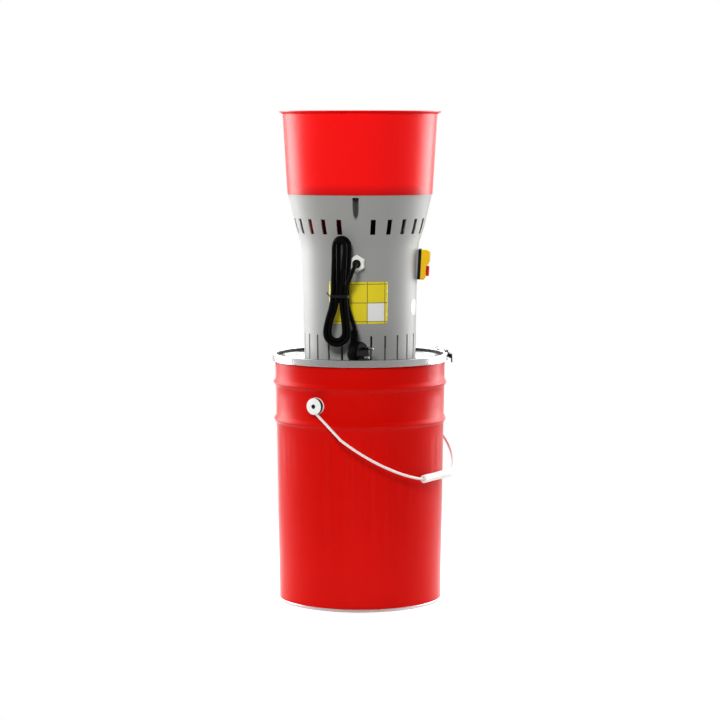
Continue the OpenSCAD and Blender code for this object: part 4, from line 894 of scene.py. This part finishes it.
LID_BEADS = {"lid_inner_bead": 116, "lid_outer_bead": 136}
BEAD_W = 5
BEAD_H = 1.1
arc = [math.pi * i / 10 for i in range(11)]
for name, bead_r in LID_BEADS.items():
    bead = [(bead_r + BEAD_W / 2 * math.cos(a), LID_Z + HAIR + BEAD_H * math.sin(a)) for a in arc]
    dress(add_object(name, lathe(name, bead)), "head", LID_METAL)

# A black bead round the lid's recess edge: painted shade, a dark line standing in for the shaded inner edge
# of the closing ring.
LID_RECESS_R = 147.15
SHADE_LINE_LOW_Z = 440.6
shade_line_outline = [(LID_RECESS_R - HAIR, SHADE_LINE_LOW_Z), (LID_RECESS_R - 0.7, SHADE_LINE_LOW_Z + 0.6),
                (LID_RECESS_R - 0.7, LID_TOP_Z + 0.4), (LID_RECESS_R, LID_TOP_Z + 1.1),
                (LID_RECESS_R + 1.8, LID_TOP_Z + 1.3), (LID_RECESS_R + 3.2, LID_TOP_Z + 0.9),
                (LID_RECESS_R + 3.6, LID_TOP_Z + HAIR), (LID_RECESS_R - HAIR, LID_TOP_Z + HAIR)]
dress(add_object("lid_seal_edge", lathe("lid_seal_edge", shade_line_outline)), "head", SEAL_RUBBER)


# Casing and hopper

rounded_copy("casing", "head", CASING_GREY, 0.5)
hopper = rounded_copy("hopper", "head", HOPPER_RED, 1.0, 3)
for corner in hopper.data.vertices:
    if corner.co.xy.length > (RIM_R - RIM_EDGE) * MM and corner.co.z < (RIM_TOP_Z - RIM_EDGE) * MM:
        corner.co.z += RIM_TAPER * MM
# The hopper screws are black: painted shade at the tops of the casing's grooves, under the hopper's overhang.
rounded_copy("hopper_screws", "head", SHADE_BLACK_STEEL, 0.5)


def rounded_rows(z0, z1, a0, a1, corner_mm, radius):
    """Rows of a patch with rounded corners."""
    per_degree = math.radians(1) * radius
    steps = [corner_mm * (1 - math.cos(math.pi / 2 * i / 8)) for i in range(9)]
    heights = [z0 + s for s in steps] + [z1 - s for s in reversed(steps)]
    rows = []
    for z in heights:
        depth = max(0, corner_mm - min(z - z0, z1 - z))
        inset = (corner_mm - math.sqrt(corner_mm ** 2 - depth ** 2)) / per_degree
        rows.append((z, a0 + inset, a1 - inset))
    return rows


def on_casing(z):
    return casing_r(z) + HAIR


FILM_T = 0.25
PANEL_ZS = (506, 580)
PANEL_AZS = (-32, 28.5)
PANEL_CORNER = 4
PANEL_WALL_R = 101
panel_rows = rounded_rows(*PANEL_ZS, *PANEL_AZS, PANEL_CORNER, PANEL_WALL_R)
dress(wall_patch("front_panel", panel_rows, on_casing, FILM_T), "head", PANEL_YELLOW)

DISC_R = 14.6
DISC_AZ = 71.5
DISC_Z = 531.5
disc_wall_r = casing_r(DISC_Z)
disc_turn = math.degrees(DISC_R / disc_wall_r)
disc_rows = rounded_rows(DISC_Z - DISC_R, DISC_Z + DISC_R, DISC_AZ - disc_turn, DISC_AZ + disc_turn,
                         DISC_R - 0.01, disc_wall_r)
dress(wall_patch("side_disc", disc_rows, on_casing, FILM_T), "head", DISC_PALE)


# Switch

rounded_copy("switch_gasket", "head", SEAL_RUBBER, 0.5)
rounded_copy("switch_housing", "head", YELLOW_PLASTIC, 0.9, 3)
rounded_copy("start_button", "start", GREEN_PLASTIC, 1.2, 3)
rounded_copy("stop_button", "stop", STOP_RED, 1.2, 3)
rounded_copy("switch_screws", "head", SCREW_STEEL, 0.5)

pad = facing(SWITCH_AZ + CASING_TURN, PAD_R, SWITCH_Z) @ Matrix.Rotation(math.radians(SWITCH_TILT), 4, "X")
SCREW_X = 15.5
SCREW_Y = -11.5
SCREW_TOP = SWITCH_GASKET_T + 8.8
CROSS_L = 3.2
CROSS_W = 0.7
CROSS_H = 0.1
grown("switch_screw_crosses", CROSSES, "head", BLACK_PLASTIC, pad,
      points=[(x, SCREW_Y, SCREW_TOP) for x in (-SCREW_X, SCREW_X)],
      Length=CROSS_L * MM, Width=CROSS_W * MM, Depth=CROSS_H * MM)


# Gland, tie and plug

gland_place = facing(CASING_TURN + GLAND_AZ, gland_face_r, gland_z)
rounded_copy("gland_body", "head", WHITE_PLASTIC, 0.7, 3)
rounded_copy("gland_nut", "head", WHITE_PLASTIC, 0.7, 3)
GLAND_SEAL_R = 7.7
GLAND_SEAL_H = 2
seal_bore_r = CORD_D / 2 + 2 * HAIR
gland_seal = lathe("gland_seal", [
    (seal_bore_r, 0), (GLAND_SEAL_R, 0), (GLAND_SEAL_R - 0.3, 0.8), (GLAND_SEAL_R - 1.7, 1.6),
    (seal_bore_r, GLAND_SEAL_H)], 64)
gland_seal.transform(gland_place @ Matrix.Translation((0, 0, (GLAND_FLANGE_T + GLAND_NUT_L + HAIR) * MM)))
dress(add_object("gland_seal", gland_seal), "head", SEAL_RUBBER)
tie = rounded_copy("cord_tie", "head", BLACK_PLASTIC, 0.3)
plug = rounded_copy("plug_body", "head", PLUG_BLACK, 0.8, 3)
pins = rounded_copy("plug_pins", "head", PIN_NICKEL, 0.1, 1)

TIE_SIDE = HANK_WAIST_X - HANK_WAIST_W + HANK_STEP / 2 - CORD_D / 2 - 1.6
TIE_DEPTH = HANK_BACK + HANK_LAYER / 2
TWIST_L = 4
TWIST_R = 0.65


def tie_twist():
    """The tie's two ends: twisted round each other beside the hank, then bent apart."""
    curve = bpy.data.curves.new("tie_twist", "CURVE")
    curve.dimensions = "3D"
    curve.bevel_depth = TWIST_R * MM
    curve.use_fill_caps = True
    for phase, tip in ((0, (-5, 1.5, 7)), (math.pi, (-8, -1, 4.5))):
        points = []
        for i in range(17):
            t = i / 16
            a = phase + 3 * math.pi * t
            points.append((TIE_SIDE - TWIST_L * t, TIE_DEPTH + TWIST_R * math.cos(a),
                           HANK_WAIST_Z + TWIST_R * math.sin(a) + 2 * t))
        points.append((TIE_SIDE + tip[0], TIE_DEPTH + tip[1], HANK_WAIST_Z + tip[2]))
        wire = curve.splines.new("POLY")
        wire.points.add(len(points) - 1)
        for spot, p in zip(wire.points, points):
            spot.co = (*(hank_point(*p) * MM), 1)
    return dress(add_object("tie_twist", curve), "head", BLACK_PLASTIC)


twist = tie_twist()
plug_axis = (Matrix.Translation(Vector((*RELIEF_AT, PLUG_Z)) * MM)
             @ Matrix.Rotation(math.radians(-PLUG_TURN), 4, "Z")
             @ Matrix.Translation((-RELIEF_X * MM, 0, 0)) @ Matrix.Rotation(math.radians(90), 4, "Y"))
RIB_COUNT = 28
RIB_H = 1.0
RIB_W = 1.6
RIB_L = 10
RIB_MID = 12
plug_ribs = grown("plug_ribs", RIBS, "head", PLUG_BLACK, plug_axis @ Matrix.Translation((0, 0, RIB_MID * MM)),
                  edge_mm=0.3, Count=RIB_COUNT, Radius=(PLUG_R + 0.1) * MM,
                  Rib_Size=(RIB_H * MM, RIB_W * MM, RIB_L * MM))
RING_COUNT = 6
RING_PITCH = 3
RING_FIRST_R = 7.4
RING_H = 1.4
RING_SHRINK = -0.0325
relief_foot_z = RELIEF_TOP_Z - RING_COUNT * RING_PITCH
relief_place = Matrix.Translation(Vector((*RELIEF_AT, relief_foot_z)) * MM)
relief_rings = grown("relief_rings", RINGS, "head", PLUG_BLACK, relief_place, edge_mm=0.4,
                     Count=RING_COUNT, Pitch=RING_PITCH * MM, Radius=RING_FIRST_R * MM, Height=RING_H * MM,
                     Shrink=RING_SHRINK)
SLEEVE_L = 10
sleeve_in_r = PLUG_PIN_R + HAIR
sleeve_out_r = PLUG_PIN_R + 0.35
sleeve_outline = [(sleeve_in_r, 0), (sleeve_out_r, 0),
                  (sleeve_out_r, SLEEVE_L - 0.4), (sleeve_in_r, SLEEVE_L)]
pins_axis = plug_axis @ Matrix.Rotation(math.radians(PLUG_PIN_TURN), 4, "Z")
for number, side in enumerate((-1, 1)):
    sleeve = lathe(f"pin_sleeve_{number}", sleeve_outline, 40)
    sleeve.transform(pins_axis @ Matrix.Translation((-side * PLUG_PIN_GAP / 2 * MM, 0, PLUG_T * MM)))
    dress(add_object(f"pin_sleeve_{number}", sleeve), "head", BLACK_PLASTIC)


# Feed, motor and mill

rounded_copy("feed_gate", "gate", MILL_STEEL, 0.3)
rounded_copy("gate_knob", "gate", BLACK_PLASTIC, 0.8, 3)
SOLID_FINISHES = {
    "lid_gasket": SEAL_RUBBER, "casing_screws": SCREW_STEEL, "feed_chute": MILL_STEEL,
    "motor_frame": MOTOR_ALLOY, "lower_shield": MOTOR_ALLOY, "upper_shield": MOTOR_ALLOY,
    "motor_bolts": SCREW_STEEL, "stator_core": CORE_STEEL, "stator_windings": COPPER,
    "rotor_core": CORE_STEEL, "rotor_shaft": MILL_STEEL, "shaft_bearings": SCREW_STEEL,
    "cooling_fan": BLACK_PLASTIC, "run_capacitor": WHITE_PLASTIC, "terminal_block": WHITE_PLASTIC,
    "shaft_seal": SEAL_RUBBER, "switch_block": BLACK_PLASTIC, "gland_lock_nut": WHITE_PLASTIC,
    "sieve_studs": SCREW_STEEL, "blade_hub": SCREW_STEEL, "blade_washer": RING_ZINC,
}
for node, material in SOLID_FINISHES.items():
    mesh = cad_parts[node].data
    mesh.materials.clear()
    mesh.materials.append(material)
rounded_copy("head_plate", "head", MOTOR_ALLOY, 0.6)
rounded_copy("sieve", "head", MILL_STEEL, 0.2, 1)
rounded_copy("sieve_cover", "head", MILL_STEEL, 0.5)
rounded_copy("wing_nuts", "head", RING_ZINC, 0.5)
rounded_copy("blade", "rotor", MILL_STEEL, 0.4)
rounded_copy("blade_nut", "rotor", RING_ZINC, 0.5)


# Studio

def softbox(name, at, towards, size, power):
    lamp_data = bpy.data.lights.new(name, "AREA")
    lamp_data.shape = "RECTANGLE"
    lamp_data.size, lamp_data.size_y = size
    lamp_data.energy = power
    lamp = bpy.data.objects.new(name, lamp_data)
    lamp.location = at
    lamp.rotation_euler = (Vector(towards) - Vector(at)).to_track_quat("-Z", "Y").to_euler()
    scene.collection.objects.link(lamp)
    return lamp


MIDDLE = (0, 0, 0.45)
softbox("left_softbox", (-2.2, 1.4, 1.1), MIDDLE, (1.6, 2.2), 98)
softbox("right_softbox", (2.2, 1.4, 1.1), MIDDLE, (1.6, 2.2), 102)
front = softbox("front_softbox", (-0.7, -3.4, 2.5), MIDDLE, (1.0, 1.0), 110)
front.visible_glossy = False
softbox("back_softbox", (0, 2.6, 1.5), MIDDLE, (2.0, 1.6), 24)


def studio_room():
    """White to the camera, a white backdrop and sides to gloss and light, and a dimmer room at the front."""
    world = bpy.data.worlds.new("studio_room")
    world.use_nodes = True
    tree = world.node_tree
    sky = tree.nodes["Background"]
    sky.inputs["Color"].default_value = (1, 1, 1, 1)
    way = tree.nodes.new("ShaderNodeTexCoord")
    split = tree.nodes.new("ShaderNodeSeparateXYZ")
    tree.links.new(way.outputs["Generated"], split.inputs["Vector"])
    depth = faded(tree, split.outputs["Y"], -0.75, 0.15, 0.16, 1.0)
    path = tree.nodes.new("ShaderNodeLightPath")
    mirrored = math_node(tree, "MAXIMUM", path.outputs["Is Glossy Ray"], path.outputs["Is Transmission Ray"])
    share = math_node(tree, "MULTIPLY_ADD", mirrored, 0.45, 0.5)
    room = math_node(tree, "MULTIPLY", depth, share)
    strength = math_node(tree, "MAXIMUM", room, path.outputs["Is Camera Ray"])
    tree.links.new(strength, sky.inputs["Strength"])
    return world


def floor_finish():
    """Matte white that keeps the shadow near the object and melts into the white backdrop further out."""
    paint, tree, shader = new_material("studio_floor_white")
    shader.inputs["Base Color"].default_value = (0.80, 0.80, 0.80, 1)
    shader.inputs["Roughness"].default_value = 0.9
    shader.inputs["Specular IOR Level"].default_value = 0.1
    shader.inputs["Emission Color"].default_value = (1, 1, 1, 1)
    where = tree.nodes.new("ShaderNodeTexCoord")
    reach = tree.nodes.new("ShaderNodeVectorMath")
    reach.operation = "LENGTH"
    tree.links.new(where.outputs["Object"], reach.inputs[0])
    path = tree.nodes.new("ShaderNodeLightPath")
    near_glow = math_node(tree, "MULTIPLY", path.outputs["Is Camera Ray"], 0.42)
    tree.links.new(near_glow, shader.inputs["Emission Strength"])
    far = tree.nodes.new("ShaderNodeEmission")
    far_glow = math_node(tree, "MULTIPLY_ADD", path.outputs["Is Camera Ray"], 0.6, 0.4)
    tree.links.new(far_glow, far.inputs["Strength"])
    blend = tree.nodes.new("ShaderNodeMixShader")
    tree.links.new(faded(tree, reach.outputs["Value"], 0.35, 1.1, 0.0, 1.0), blend.inputs["Fac"])
    tree.links.new(shader.outputs["BSDF"], blend.inputs[1])
    tree.links.new(far.outputs["Emission"], blend.inputs[2])
    tree.links.new(blend.outputs["Shader"], tree.nodes["Material Output"].inputs["Surface"])
    return paint


scene.world = studio_room()
floor = add_object("studio_floor", mesh_from(
    "studio_floor", [(-9000, -6000, 0), (9000, -6000, 0), (9000, 9000, 0), (-9000, 9000, 0)], [(0, 1, 2, 3)]))
floor.data.materials.append(floor_finish())

scene.view_settings.view_transform = "Standard"
